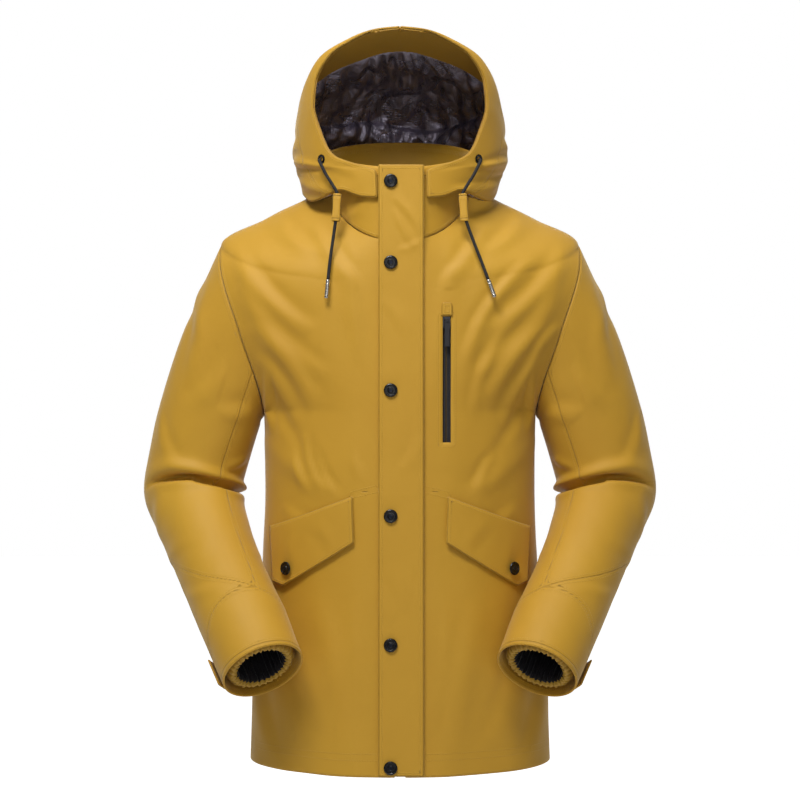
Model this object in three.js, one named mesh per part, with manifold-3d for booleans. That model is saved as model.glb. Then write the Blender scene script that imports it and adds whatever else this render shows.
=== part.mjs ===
// A hooded ski jacket, zipped up and filled out as if it were worn, with its hood up and its elbows bent.
// Millimetres, +Z up. The wearer faces -Y, so the wearer's right side is -X.
// Inside the jacket group z = 0 is the hem, and the shoulder line lies at y = 0. The group is then moved so
// that the origin of the part is the middle of the hanger loop inside the back of the collar.
import * as THREE from "three";
import { mergeVertices } from "three/addons/utils/BufferGeometryUtils.js";
import Module from "manifold-3d";

const wasm = await Module();
wasm.setup();

// Body
const hemHalfWidth = 192;
const waistHalfWidth = 175;
const shoulderHalfWidth = 232;
const neckHalfWidth = 92;
const underarmHeight = 450;
const armholeHeight = 213;
const neckRise = 78; // from the shoulder tips up to the sides of the neck
const frontDepth = 138; // the centre front line at the hem, forward of the shoulder line
const frontLean = 0.03; // how far that line leans back for each millimetre of height
const backDepth = 128;
const neckBackDepth = 82;
const neckFrontDrop = 82; // the front of the neck seam below its sides
const armholeSwell = 0.2; // sets how wide the armholes are from front to back
const roundness = 2.1; // exponent of the body's sections, 2 is an ellipse

// Cloth thicknesses and clearances
const gap = 0.4;
const shell = 4;
const tapeThickness = 0.8;
const tapeRoom = 1.2; // between a panel and the tape of the main zip, which is flat where the panel curves
const teethRoom = 0.6;
const teethThickness = 2.2;
const tapeNear = shell + tapeRoom; // depths behind the front line
const teethNear = shell + teethRoom;
const teethFar = teethNear + teethThickness;
const chestTapeRoom = 1.19; // beyond what the panel falls back behind the straight chest zip
const chestTeethLead = 1.5; // its teeth stand this far in front of its tapes
const bagNear = shell + 1.1; // pocket bags lie between the shell and the lining
const bagFar = bagNear + 2.8;
const chestBagThickness = 0.8;
const liningThickness = 2;
const seam = 0.3; // half of the opening between two panels that are sewn together
const plyRaise = 1.8; // how far a flap stands off what it covers
const plyThickness = 2.2;

// Collar and hood
const collarHeight = 44; // above the sides of the neck
const collarFrontHeight = 91; // above the front of the neck seam
const collarBackHeight = 71;
const collarThickness = 4;
const hoodHalfWidth = 138;
const hoodHeight = 189; // brim above the sides of the neck
const hoodLiningNear = shell + gap;
const hoodLiningFar = hoodLiningNear + liningThickness;
const hoodSplit = 0.36; // row of the hood where the crown starts to fold back
const chinHalfWidth = 35; // the chin guard stops this far from the middle
const hingeClearance = 1;

// Sleeves
const elbowOut = 42; // the middle of the elbow from the shoulder tip
const elbowDown = 320;
const elbowBack = 18;
const elbowRadius = 58;
const elbowPlay = 1.5; // degrees that each side is cut back from the mitre
const cuffIn = 108; // the middle of the cuff from the middle of the elbow
const cuffForward = 182;
const cuffDown = 208;
const cuffRadius = 50;
const forearmDip = 11; // the forearm is pressed in on the side that rests against the body
const forearmFree = 0.75; // from this share of its length on it is round
const sleeveWall = 6;
const sleeveSwell = 14; // rounding over the shoulder
const stormCuffDepth = 60;
const stormCuffRim = 12;
const stormCuffRadius = 32;
const stormCuffWall = 2;
const tabWidth = 34;
const tabFromRim = 9;
const tabStart = 100; // degrees round the sleeve, 0 in front and 90 outside
const tabSweep = 80;

// Centre front, as depths behind the front line
const panelEdge = 7;
const tapeInner = 3.2;
const tapeOuter = 10;
const teethInner = 0.9;
const teethOuter = 3.6;
const liningEdge = 14;
const zipBottom = 14.6;
const zipAboveNeck = 1; // zip and storm flap end this far above the sides of the neck
const flapAboveNeck = 7;
const stopHeight = 11;
const sliderLength = 14;
const sliderHalfWidth = 5;
const sliderPlate = 1.5;
const sliderClearance = 0.4;
const pullWidth = 6;
const pullLength = 32;
const pullThickness = 1.2;
const flapRight = -26;
const flapLeft = 29;
const flapBottom = 2;
const flapRootWidth = 5;
const flapHingeOut = 0.3;
const snapX = -11.5;
const lowestSnap = 10; // above the lower end of the flap
const highestSnap = 14; // below its upper end
const middleSnaps = [162, 320, 475, 633];

// Snap fasteners
const capRadius = 8.5;
const capHeight = 2.5;
const capPostRadius = 2.2;
const studRadius = 4.2;
const studHeight = 0.9;

// Chest pocket
const chestX = 58;
const chestBottom = 410;
const chestTop = 567;
const chestSlot = 11;
const chestTapeInner = 1.6;
const chestTapeLap = 3; // the tape reaches this far past the slot
const chestTeethOuter = 2.8;
const chestSliderHalfWidth = 4.5;
const garageHeight = 16;
const garageWidth = 17;

// Hip pockets, each given for one side as distance from the middle and height
const hipInnerTop = [58.7, 344];
const hipInnerBottom = [56.5, 287];
const hipCorner = [142, 232];
const hipOuterBottom = [148, 235.3];
const hipOuterTop = [149, 308];
const hipCornerShare = 0.82; // where the corner lies along the lower edge
const hipSnap = [141, 252];
const hipBag = { inner: 62, outer: 140, top: 330, bottom: 120 };
const chestBag = { inner: 36, outer: 112, top: 585, bottom: 372 };

// Hood cord
const cordRadius = 2;
const cordTipRadius = 2.6;
const cordTipLength = 23;
const eyeletRadius = 6;
const eyeletHole = 3;
const eyeletThickness = 1.5;
const keeperWidth = 10;
const keeperDepth = 7;
const keeperHole = 2.8;
const keeperLength = 34;

// Hanger loop
const loopHalfLength = 30;
const loopStand = 9;
const loopStrap = 8;
const loopThickness = 1.6;
const loopAbove = 10; // above the back of the neck seam
const loopPress = 0.2; // room for the flats of the faceted collar

const cloth = { color: "#c9983b", roughness: 0.85, metalness: 0 };
const brightCloth = { color: "#d9b350", roughness: 0.85, metalness: 0 };
const darkCloth = { color: "#8a6a22", roughness: 0.9, metalness: 0 };
const blackLining = { color: "#15120f", roughness: 0.45, metalness: 0 };
const blackPlastic = { color: "#1c1b1c", roughness: 0.4, metalness: 0 };
const blackTape = { color: "#26211e", roughness: 0.8, metalness: 0 };
const blackCord = { color: "#161514", roughness: 0.9, metalness: 0 };
const brightMetal = { color: "#b9b7b2", roughness: 0.3, metalness: 1 };

const degree = Math.PI / 180;
const shoulderHeight = underarmHeight + armholeHeight;
const neckHeight = shoulderHeight + neckRise;
const zipTop = neckHeight + zipAboveNeck;
const flapTop = neckHeight + flapAboveNeck;
const snapHeights = [flapBottom + lowestSnap, ...middleSnaps, flapTop - highestSnap];
const underarmRow = 0.55;
const shoulderRow = 0.75;
const armholeSteps = 8;
const up = new THREE.Vector3(0, 0, 1);
const { lerp, clamp } = THREE.MathUtils;

// A smooth curve through one column of a table whose first column rises, without overshoot.
function track(rows, column) {
  const x = rows.map((row) => row[0]);
  const y = rows.map((row) => row[column]);
  const last = x.length - 1;
  const slope = (k) => (y[k + 1] - y[k]) / (x[k + 1] - x[k]);
  const tangents = x.map((unused, k) => {
    if (k === 0) return slope(0);
    if (k === last) return slope(last - 1);
    const before = slope(k - 1);
    const after = slope(k);
    return before * after <= 0 ? 0 : (2 * before * after) / (before + after);
  });
  return (at) => {
    let k = 0;
    while (k < last - 1 && at > x[k + 1]) k++;
    const width = x[k + 1] - x[k];
    const t = clamp((at - x[k]) / width, 0, 1);
    const rise = t * t * (3 - 2 * t);
    const ease = t * (1 - t) * width;
    return y[k] + (y[k + 1] - y[k]) * rise + ease * ((1 - t) * tangents[k] - t * tangents[k + 1]);
  };
}

// Rows of the body from hem to neck seam: row, height at the sides, half width, depth of the back,
// how far the front of the row lies below its sides, and how far the back does.
const bodyRows = [
  [0, 0, hemHalfWidth, backDepth - 10, 0, 0],
  [0.15, underarmHeight * 0.29, (hemHalfWidth * 2 + waistHalfWidth) / 3, backDepth - 11, 0, 0],
  [0.3, underarmHeight * 0.57, waistHalfWidth + 3, backDepth - 8, 0, 0],
  [0.42, underarmHeight * 0.78, waistHalfWidth, backDepth - 4, 0, 0],
  [underarmRow, underarmHeight, waistHalfWidth + 1, backDepth - 3, 0, 0],
  [0.65, underarmHeight + armholeHeight / 2, (waistHalfWidth + shoulderHalfWidth) / 2, backDepth, 15, 0],
  [shoulderRow, shoulderHeight, shoulderHalfWidth, backDepth, 55, 20],
  [0.83, shoulderHeight + neckRise * 0.44, neckHalfWidth + 85, backDepth - 10, 67, 16],
  [0.92, shoulderHeight + neckRise * 0.77, neckHalfWidth + 33, backDepth - 28, 75, 9],
  [1, neckHeight, neckHalfWidth, neckBackDepth, neckFrontDrop, 4],
];
const [bodyZ, bodyHalf, bodyBack, bodyFrontDrop, bodyBackDrop] = [1, 2, 3, 4, 5].map((c) =>
  track(bodyRows, c),
);

// A ramp from 0 to 1 with a rounded foot, so that the shoulder seam isn't a sharp ridge.
const foot = 0.15;
const ramp = (q) => (Math.hypot(q, foot) - foot) / (Math.hypot(1, foot) - foot);

// A point of a section: side is 1 for the wearer's left, angle is 0 in front, 90 degrees at the side.
function sectionPoint(side, angle, s) {
  const sine = Math.sin(angle);
  const reach = Math.pow(Math.abs(Math.cos(angle)), 2 / roundness);
  const front = Math.cos(angle) > 0;
  return new THREE.Vector3(
    side * s.half * Math.sign(sine) * Math.pow(Math.abs(sine), 2 / roundness),
    front ? -s.front * reach : s.back * reach,
    s.z - (front ? s.frontDrop : s.backDrop) * ramp(reach),
  );
}

function swell(row) {
  const share = (row - underarmRow) / (shoulderRow - underarmRow);
  return share > 0 && share < 1 ? 1 + armholeSwell * Math.sin(Math.PI * share) : 1;
}

function bodyPoint(side, angle, row) {
  const z = bodyZ(row);
  const frontDrop = bodyFrontDrop(row);
  return sectionPoint(side, angle, {
    z,
    half: bodyHalf(row) * swell(row),
    front: frontDepth - frontLean * (z - frontDrop),
    back: bodyBack(row),
    frontDrop,
    backDrop: bodyBackDrop(row),
  });
}

// The place and outward direction of a surface that is given as a function of two numbers.
function onSurface(surface, flip) {
  const step = 1e-3;
  return (u, v) => {
    const along = surface(u + step, v).sub(surface(u - step, v));
    const across = surface(u, v + step).sub(surface(u, v - step));
    return { at: surface(u, v), out: along.cross(across).normalize().multiplyScalar(flip) };
  };
}

const onBody = (side) => onSurface((angle, row) => bodyPoint(side, angle, row), side);

// The angle where a body panel stops at the armhole or at the side seam.
const edgeAngle = (row) => Math.asin(Math.pow(1 / swell(row), roundness / 2));
const seamAngle = (row) => edgeAngle(row) - Math.pow(seam / backDepth, roundness / 2);
const angleAt = (x, row) => Math.asin(Math.pow(x / (bodyHalf(row) * swell(row)), roundness / 2));

// The body surface at a distance x from the middle and a height z, found by halving.
function onBodyAt(side, x, z) {
  let low = 0;
  let high = 1;
  for (let i = 0; i < 30; i++) {
    const middle = (low + high) / 2;
    const below = bodyPoint(side, angleAt(x, middle), middle).z < z;
    [low, high] = below ? [middle, high] : [low, middle];
  }
  return onBody(side)(angleAt(x, low), low);
}

function geometryOf(positions, triangles) {
  const geometry = new THREE.BufferGeometry();
  geometry.setAttribute("position", new THREE.Float32BufferAttribute(positions, 3));
  geometry.setIndex(triangles);
  return geometry;
}

// A closed slab between two copies of a surface, near and far behind it. The surface is a grid of
// { at, out } over the numbers us and vs. With wrap the last u joins the first.
function slab(surface, us, vs, near, far, wrap = false) {
  const positions = [];
  for (const depth of [near, far]) {
    for (const v of vs) {
      for (const u of us) {
        const { at, out } = surface(u, v);
        positions.push(...at.clone().addScaledVector(out, -depth));
      }
    }
  }
  const across = us.length;
  const layer = across * vs.length;
  const triangles = [];
  const quad = (a, b, c, d) => triangles.push(a, b, c, a, c, d);
  const cells = wrap ? across : across - 1;
  for (let j = 0; j < vs.length - 1; j++) {
    for (let i = 0; i < cells; i++) {
      const a = j * across + i;
      const b = j * across + ((i + 1) % across);
      quad(a, b, b + across, a + across);
      quad(layer + a, layer + a + across, layer + b + across, layer + b);
    }
    if (!wrap) {
      const left = j * across;
      const right = left + across - 1;
      quad(left, left + across, layer + left + across, layer + left);
      quad(right, layer + right, layer + right + across, right + across);
    }
  }
  const top = (vs.length - 1) * across;
  for (let i = 0; i < cells; i++) {
    const next = (i + 1) % across;
    quad(i, layer + i, layer + next, next);
    quad(top + i, top + next, layer + top + next, layer + top + i);
  }
  const a = new THREE.Vector3();
  const b = new THREE.Vector3();
  const c = new THREE.Vector3();
  let volume = 0;
  for (let i = 0; i < triangles.length; i += 3) {
    a.fromArray(positions, triangles[i] * 3);
    b.fromArray(positions, triangles[i + 1] * 3);
    c.fromArray(positions, triangles[i + 2] * 3);
    volume += a.dot(b.cross(c));
  }
  if (volume < 0) triangles.reverse();
  return geometryOf(positions, triangles);
}

const spread = (from, to, steps) =>
  Array.from({ length: steps + 1 }, (unused, i) => from + ((to - from) * i) / steps);

function solidOf(geometry) {
  const bare = geometry.clone();
  bare.deleteAttribute("normal");
  bare.deleteAttribute("uv");
  const merged = mergeVertices(bare);
  const { array } = merged.attributes.position;
  return new wasm.Manifold(
    new wasm.Mesh({ numProp: 3, vertProperties: array, triVerts: new Uint32Array(merged.index.array) }),
  );
}

function geometryFrom(solid) {
  const mesh = solid.getMesh();
  return geometryOf([...mesh.vertProperties], [...mesh.triVerts]);
}

const joined = (...parts) => geometryFrom(parts.map(solidOf).reduce((all, next) => all.add(next)));
const cut = (base, ...tools) =>
  geometryFrom(tools.map(solidOf).reduce((all, next) => all.subtract(next), solidOf(base)));

// A box between two corners.
function block(low, high) {
  const size = high.map((value, i) => value - low[i]);
  const geometry = new THREE.BoxGeometry(...size);
  return geometry.translate(...low.map((value, i) => value + size[i] / 2));
}

function part(name, geometry, finish, parent, place) {
  const mesh = new THREE.Mesh(geometry, new THREE.MeshStandardMaterial(finish));
  mesh.name = name;
  if (place) {
    mesh.position.copy(place.at);
    if (place.turn) mesh.quaternion.copy(place.turn);
  }
  parent.add(mesh);
  return mesh;
}

// Turns the z axis of a piece to a direction.
const facing = (direction) => new THREE.Quaternion().setFromUnitVectors(up, direction);

const jacket = new THREE.Group();
const joints = {};
const sides = [
  ["right", -1],
  ["left", 1],
];

// Rows of the panels. Those along the armhole match the points of the sleeve's opening.
const armholeRows = spread(-90, 90, armholeSteps).map(
  (turn) => (underarmRow + shoulderRow) / 2 + ((shoulderRow - underarmRow) / 2) * Math.sin(turn * degree),
);
const panelRows = [
  ...spread(0, underarmRow, 5).slice(0, -1),
  ...armholeRows,
  ...spread(shoulderRow, 1, 4).slice(1),
];

function frontCloth(side, edge, near, far) {
  const surface = onBody(side);
  const pick = (u, row) => {
    const start = angleAt(edge, row);
    return surface(start + (seamAngle(row) - start) * u, row);
  };
  return slab(pick, spread(0, 1, 8), panelRows, near, far);
}

function backCloth(near, far) {
  const surface = onBody(1);
  const pick = (u, row) => surface(Math.PI + seamAngle(row) * u, row);
  return slab(pick, spread(-1, 1, 14), panelRows, near, far);
}

// Everything at the centre front is flat along the front line: x, depth behind the line, height.
const frontLine = new THREE.Group();
frontLine.position.set(0, -frontDepth, 0);
frontLine.rotation.x = -Math.atan(frontLean);
jacket.add(frontLine);
const frontPoint = (x, depth, height) =>
  new THREE.Vector3(x, depth, height).applyEuler(frontLine.rotation).add(frontLine.position);

// The chest pocket's zip is straight, in a frame of its own: across, behind the cloth, up.
const chestLow = onBodyAt(1, chestX, chestBottom);
const chestHigh = onBodyAt(1, chestX, chestTop);
const chestMiddle = onBodyAt(1, chestX, (chestBottom + chestTop) / 2);
const chestUp = chestHigh.at.clone().sub(chestLow.at).normalize();
const chestIn = chestMiddle.out.clone().negate();
chestIn.addScaledVector(chestUp, -chestIn.dot(chestUp)).normalize();
const chestAcross = chestIn.clone().cross(chestUp);
// How far the panel falls back behind the straight zip at the edges of its tapes.
const chestFall = Math.max(
  ...[chestBottom, (chestBottom + chestTop) / 2, chestTop].flatMap((z) =>
    [-1, 1].map((way) => {
      const edge = onBodyAt(1, chestX + way * (chestSlot / 2 + chestTapeLap), z).at;
      return edge.sub(chestMiddle.at).dot(chestIn);
    }),
  ),
);
const chestTapeNear = shell + chestFall + chestTapeRoom;
const chestTeethNear = chestTapeNear - chestTeethLead;
const chestBagNear = chestTapeNear + tapeThickness + 2 * gap;
const chestBagFar = chestBagNear + chestBagThickness;
const liningNear = chestBagFar + gap;
const liningFar = liningNear + liningThickness;
const chestHalf = chestHigh.at.distanceTo(chestLow.at) / 2;
const chestZip = new THREE.Group();
chestZip.position.copy(chestMiddle.at);
chestZip.quaternion.setFromRotationMatrix(new THREE.Matrix4().makeBasis(chestAcross, chestIn, chestUp));
jacket.add(chestZip);
const chestPoint = (x, depth, height) =>
  new THREE.Vector3(x, depth, height).applyQuaternion(chestZip.quaternion).add(chestZip.position);

function chestOpening() {
  const deep = 20;
  const opening = block(
    [-chestSlot / 2, -deep, -chestHalf],
    [chestSlot / 2, deep, chestHalf],
  );
  return opening.applyQuaternion(chestZip.quaternion).translate(...chestZip.position);
}

function addBody() {
  part("front_panel_right", frontCloth(-1, panelEdge, 0, shell), cloth, jacket);
  part("front_panel_left", cut(frontCloth(1, panelEdge, 0, shell), chestOpening()), cloth, jacket);
  part("back_panel", backCloth(0, shell), cloth, jacket);
  part("lining_front_right", frontCloth(-1, liningEdge, liningNear, liningFar), blackLining, jacket);
  part("lining_front_left", frontCloth(1, liningEdge, liningNear, liningFar), blackLining, jacket);
  part("lining_back", backCloth(liningNear, liningFar), blackLining, jacket);
}

function pocketBag(side, bag, near, far) {
  const pick = (u, v) =>
    onBodyAt(side, lerp(bag.inner, bag.outer, u), lerp(bag.bottom, bag.top, v));
  return slab(pick, spread(0, 1, 5), spread(0, 1, 5), near, far);
}

// The collar stands on the neck seam, from one edge of the front round the back to the other.
const collarShape = (side, angle, share) => {
  const mix = (from, to) => from + (to - from) * share;
  const frontDrop = mix(neckFrontDrop, neckFrontDrop + collarHeight - collarFrontHeight);
  const z = neckHeight + collarHeight * share;
  return sectionPoint(side, angle, {
    z: z + 2 * gap,
    half: mix(neckHalfWidth, neckHalfWidth + 2),
    front: frontDepth - frontLean * (z - frontDrop),
    back: mix(neckBackDepth, neckBackDepth + 6),
    frontDrop,
    backDrop: mix(4, 4 + collarHeight - collarBackHeight),
  });
};

function addCollar() {
  const surface = onSurface((angle, share) => collarShape(1, angle, share), 1);
  const start = Math.asin(Math.pow(panelEdge / neckHalfWidth, roundness / 2));
  const pick = (angle, share) => surface(angle, share);
  const angles = spread(start, 2 * Math.PI - start, 24);
  part("collar", slab(pick, angles, spread(0, 1, 2), 0, collarThickness), brightCloth, jacket);
}

// Rows of the hood: row, then the rim point in front (x, y, height above the neck), the half width, the
// depth of the widest place, and the middle of the back (y, height above the neck).
const hoodRows = [
  [0, chinHalfWidth, -116.9, -27, hoodHalfWidth - 11, 0, 97, 6],
  [0.12, chinHalfWidth + 1, -115.9, 6, hoodHalfWidth - 7, 0, 103, 10],
  [0.2, 60, -107, 17, hoodHalfWidth - 4, 0, 108, 13],
  [0.28, 86, -92, 30, hoodHalfWidth - 1, 0, 113, 17],
  [0.36, 100, -82, 56, hoodHalfWidth, 0, 117, 22],
  [0.5, 111, -72, 94, hoodHalfWidth - 3, 0, 120, 56],
  [0.65, 108, -70, 125, hoodHalfWidth - 13, -28, 112, 98],
  [0.8, 88, -78, 158, hoodHalfWidth - 35, -58, 85, 134],
  [0.92, 50, -86, 180, hoodHalfWidth - 76, -76, 20, 162],
  [1, 14, -90, hoodHeight, 16, -88, -76, hoodHeight - 1],
];
const [rimX, rimY, rimZ, hoodHalf, hoodMiddle, hoodBack, hoodBackZ] = [1, 2, 3, 4, 5, 6, 7].map((c) =>
  track(hoodRows, c),
);

// Along a row of the hood, from -1 at the right rim through 0 at the back to 1 at the left rim.
function hoodPoint(along, row) {
  const half = Math.max(hoodHalf(row), rimX(row) * 1.02);
  const middle = hoodMiddle(row);
  const frontAngle = Math.asin(rimX(row) / half);
  const front = (middle - rimY(row)) / Math.cos(frontAngle);
  const back = hoodBack(row) - middle;
  const angle = Math.PI - (Math.PI - frontAngle) * Math.abs(along);
  const y = middle - (Math.cos(angle) > 0 ? front : back) * Math.cos(angle);
  const share = (y - rimY(row)) / (hoodBack(row) - rimY(row));
  const z = neckHeight + rimZ(row) + (hoodBackZ(row) - rimZ(row)) * share;
  return new THREE.Vector3(Math.sign(along) * half * Math.sin(angle), y, z);
}
const onHood = onSurface(hoodPoint, -1);

function hoodCloth(rows, near, far) {
  const rowStep = 1e-3;
  const pick = (along, row) => onHood(clamp(along, -0.999, 0.999), Math.min(row, 1 - rowStep));
  return slab(pick, spread(-1, 1, 16), rows, near, far);
}

function addHood() {
  const split = 0.004; // half of the opening between base and crown, as a share of the rows
  const baseRows = [0.001, 0.12, 0.2, 0.28, hoodSplit - split];
  const crownRows = [hoodSplit + split, 0.43, 0.5, 0.58, 0.65, 0.73, 0.8, 0.87, 0.94, 1];
  part("hood_base", hoodCloth(baseRows, 0, shell), brightCloth, jacket);
  part("hood_base_lining", hoodCloth(baseRows, hoodLiningNear, hoodLiningFar), blackLining, jacket);
  part("hood_crown", hoodCloth(crownRows, 0, shell), brightCloth, jacket);
  part("hood_crown_lining", hoodCloth(crownRows, hoodLiningNear, hoodLiningFar), blackLining, jacket);
  const hinge = hoodPoint(0, hoodSplit);
  hinge.y += hingeClearance;
  joints.hood_fold = { at: hinge, axis: new THREE.Vector3(-1, 0, 0) };
}

// The outline of an armhole, 90 degrees at the shoulder tip, 0 in front, -90 at the underarm.
function armhole(side, turn) {
  const row = (underarmRow + shoulderRow) / 2 + ((shoulderRow - underarmRow) / 2) * Math.sin(turn);
  const angle = Math.cos(turn) >= 0 ? edgeAngle(row) : Math.PI - edgeAngle(row);
  const place = onBody(side)(angle, row);
  place.at.x += side * 2 * seam;
  return place;
}

// The frame of the right sleeve, mirrored for the left.
function sleeveFrame(side) {
  const tip = new THREE.Vector3(-shoulderHalfWidth, 0, shoulderHeight);
  const elbow = tip.clone().add(new THREE.Vector3(-elbowOut, elbowBack, -elbowDown));
  const armholeMiddle = new THREE.Vector3(-bodyHalf(0.65), 0, underarmHeight + armholeHeight / 2);
  const forearm = new THREE.Vector3(cuffIn, -cuffForward, -cuffDown);
  const upper = elbow.clone().sub(armholeMiddle).normalize();
  const lower = forearm.clone().normalize();
  const bendAxis = upper.clone().cross(lower).normalize();
  const bend = upper.angleTo(lower);
  const outside = new THREE.Vector3(-1, 0, 0).projectOnPlane(upper).normalize();
  const before = outside.clone().cross(upper);
  const bent = (v) => v.clone().applyAxisAngle(bendAxis, bend);
  const mitre = upper.clone().add(lower).normalize();
  const inner = bendAxis.clone().cross(mitre);
  const hinge = elbow.clone().addScaledVector(inner, -elbowRadius / Math.cos(bend / 2) - 0.5);
  return {
    side, tip, elbow, upper, lower, outside, before, mitre, hinge, bendAxis,
    forearm: forearm.length(),
    lowerOutside: bent(outside),
    lowerBefore: bent(before),
    cuff: elbow.clone().add(forearm),
  };
}

// A point on a round sleeve, slid along it onto a plane through the elbow hinge.
function slidOnto(point, along, hinge, normal) {
  const slide = hinge.clone().sub(point).dot(normal) / along.dot(normal);
  return point.addScaledVector(along, slide);
}

function ring(centre, radius, before, outside, turn) {
  return centre
    .clone()
    .addScaledVector(before, radius * Math.cos(turn))
    .addScaledVector(outside, radius * Math.sin(turn));
}

// The planes where the two halves of a sleeve stop, on either side of the elbow's hinge line.
const elbowPlane = (f, lean) => f.mitre.clone().applyAxisAngle(f.bendAxis, lean * elbowPlay * degree);

function upperPoint(f, turn, share) {
  const start = armhole(-1, turn).at;
  const normal = elbowPlane(f, 1);
  const hinge = f.hinge.clone().addScaledVector(f.mitre, -gap / 2);
  const round = ring(f.elbow, elbowRadius, f.before, f.outside, turn);
  const end = slidOnto(round, f.upper, hinge, normal);
  const bulge = sleeveSwell * Math.sin(Math.PI * share) * Math.max(0, Math.sin(turn));
  return start.lerp(end, share).addScaledVector(f.outside, bulge);
}

function lowerPoint(f, turn, share) {
  const normal = elbowPlane(f, -1);
  const hinge = f.hinge.clone().addScaledVector(f.mitre, gap / 2);
  const round = ring(f.elbow, elbowRadius, f.lowerBefore, f.lowerOutside, turn);
  const start = slidOnto(round, f.lower, hinge, normal);
  const end = ring(f.cuff, cuffRadius, f.lowerBefore, f.lowerOutside, turn);
  const pressed = Math.sin(Math.PI * Math.min(1, share / forearmFree));
  const dip = forearmDip * pressed * Math.max(0, -Math.sin(turn));
  return start.lerp(end, share).addScaledVector(f.lowerOutside, dip);
}

// The surface of a sleeve, made for the right arm and mirrored for the left.
const onSleeve = (f, point) => {
  const surface = onSurface((turn, share) => point(f, turn, share), 1);
  return (turn, share) => {
    const place = surface(turn, share);
    place.at.x *= -f.side;
    place.out.x *= -f.side;
    return place;
  };
};

const mirroredTo = (side, v) => new THREE.Vector3(-side * v.x, v.y, v.z);
const mirroredAxis = (side, v) => new THREE.Vector3(v.x, -side * v.y, -side * v.z);

function addSleeve(name, side) {
  const f = sleeveFrame(side);
  const turns = spread(-90, 270, 16).slice(0, -1).map((turn) => turn * degree);
  const upperSurface = onSleeve(f, upperPoint);
  const lowerSurface = onSleeve(f, lowerPoint);
  const firstShare = 1e-3;
  // The first ring is mitred to the panels: its wall leans from the sleeve's own direction at the
  // underarm to the panel's direction at the shoulder.
  const upperPick = (turn, share) => {
    const place = upperSurface(turn, Math.min(Math.max(share, firstShare), 1 - firstShare));
    place.at = mirroredTo(side, upperPoint(f, turn, share));
    if (share === 0) place.out.lerp(armhole(side, turn).out, (1 + Math.sin(turn)) / 2).normalize();
    if (share === 1) place.out.projectOnPlane(mirroredTo(side, elbowPlane(f, 1))).normalize();
    return place;
  };
  const lowerPick = (turn, share) => {
    const place = lowerSurface(turn, share);
    if (share === 0) place.out.projectOnPlane(mirroredTo(side, elbowPlane(f, -1))).normalize();
    return place;
  };
  const upperShares = [0, 0.12, 0.3, 0.5, 0.75, 1];
  part("upper_sleeve_" + name, slab(upperPick, turns, upperShares, 0, sleeveWall, true), cloth, jacket);
  const lowerShares = [0, 0.25, 0.5, 0.75, 1];
  part("lower_sleeve_" + name, slab(lowerPick, turns, lowerShares, 0, sleeveWall, true), cloth, jacket);

  // The storm cuff is a cone that touches the sleeve deep inside and narrows towards the wrist.
  const deepRadius = cuffRadius + ((elbowRadius - cuffRadius) * stormCuffDepth) / f.forearm;
  const outerRadius = deepRadius - sleeveWall - gap;
  const stormPoint = (frame, turn, share) => {
    const depth = stormCuffDepth + (stormCuffRim - stormCuffDepth) * share;
    const centre = frame.cuff.clone().addScaledVector(frame.lower, -depth);
    const radius = outerRadius + (stormCuffRadius - outerRadius) * share;
    return ring(centre, radius, frame.lowerBefore, frame.lowerOutside, turn);
  };
  const storm = slab(onSleeve(f, stormPoint), turns, [0, 1], 0, stormCuffWall, true);
  part("storm_cuff_" + name, storm, brightCloth, jacket);

  const along = (depth) => 1 - depth / f.forearm;
  const tabTurns = spread(tabStart, tabStart + tabSweep, 7).map((turn) => turn * degree);
  const tabShares = spread(along(tabFromRim + tabWidth), along(tabFromRim), 2);
  const tab = slab(lowerSurface, tabTurns, tabShares, -gap - plyThickness, -gap);
  part("cuff_tab_" + name, tab, darkCloth, jacket);

  const tabHinge = lowerSurface(tabTurns[0], along(tabFromRim + tabWidth / 2));
  joints["sleeve_raise_" + name] = {
    at: mirroredTo(side, f.tip),
    axis: new THREE.Vector3(0, -side, 0),
  };
  joints["elbow_" + name] = { at: mirroredTo(side, f.hinge), axis: mirroredAxis(side, f.bendAxis) };
  joints["cuff_tab_" + name] = {
    at: tabHinge.at.clone().addScaledVector(tabHinge.out, hingeClearance + plyThickness),
    axis: mirroredTo(side, f.lower).multiplyScalar(side),
  };
}

// A snap's cap with the post that passes through its flap. Its foot is at z = 0, facing up.
function snapCap() {
  const reach = plyThickness + 2 * gap;
  const top = reach + capHeight;
  const profile = [
    [0, 0], [capPostRadius, 0], [capPostRadius, reach], [capRadius, reach], [capRadius, reach + 1],
    [capRadius * 0.8, top], [0, top],
  ];
  return new THREE.LatheGeometry(profile.map(([x, y]) => new THREE.Vector2(x, y)), 14).rotateX(Math.PI / 2);
}

function snapStud() {
  const profile = [
    [0, 0], [studRadius, 0], [studRadius * 0.8, studHeight], [0, studHeight],
  ];
  return new THREE.LatheGeometry(profile.map(([x, y]) => new THREE.Vector2(x, y)), 10).rotateX(Math.PI / 2);
}

// A rod on the z axis, for holes and pins.
const rod = (radius, length, around = 16) =>
  new THREE.CylinderGeometry(radius, radius, length, around).rotateX(Math.PI / 2);

// A snap at a place on the cloth: the stud stands on the cloth, and the post ends just above it.
const studFoot = gap;
const postFoot = studFoot + studHeight + gap;
const holeRadius = capPostRadius + gap;

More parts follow.
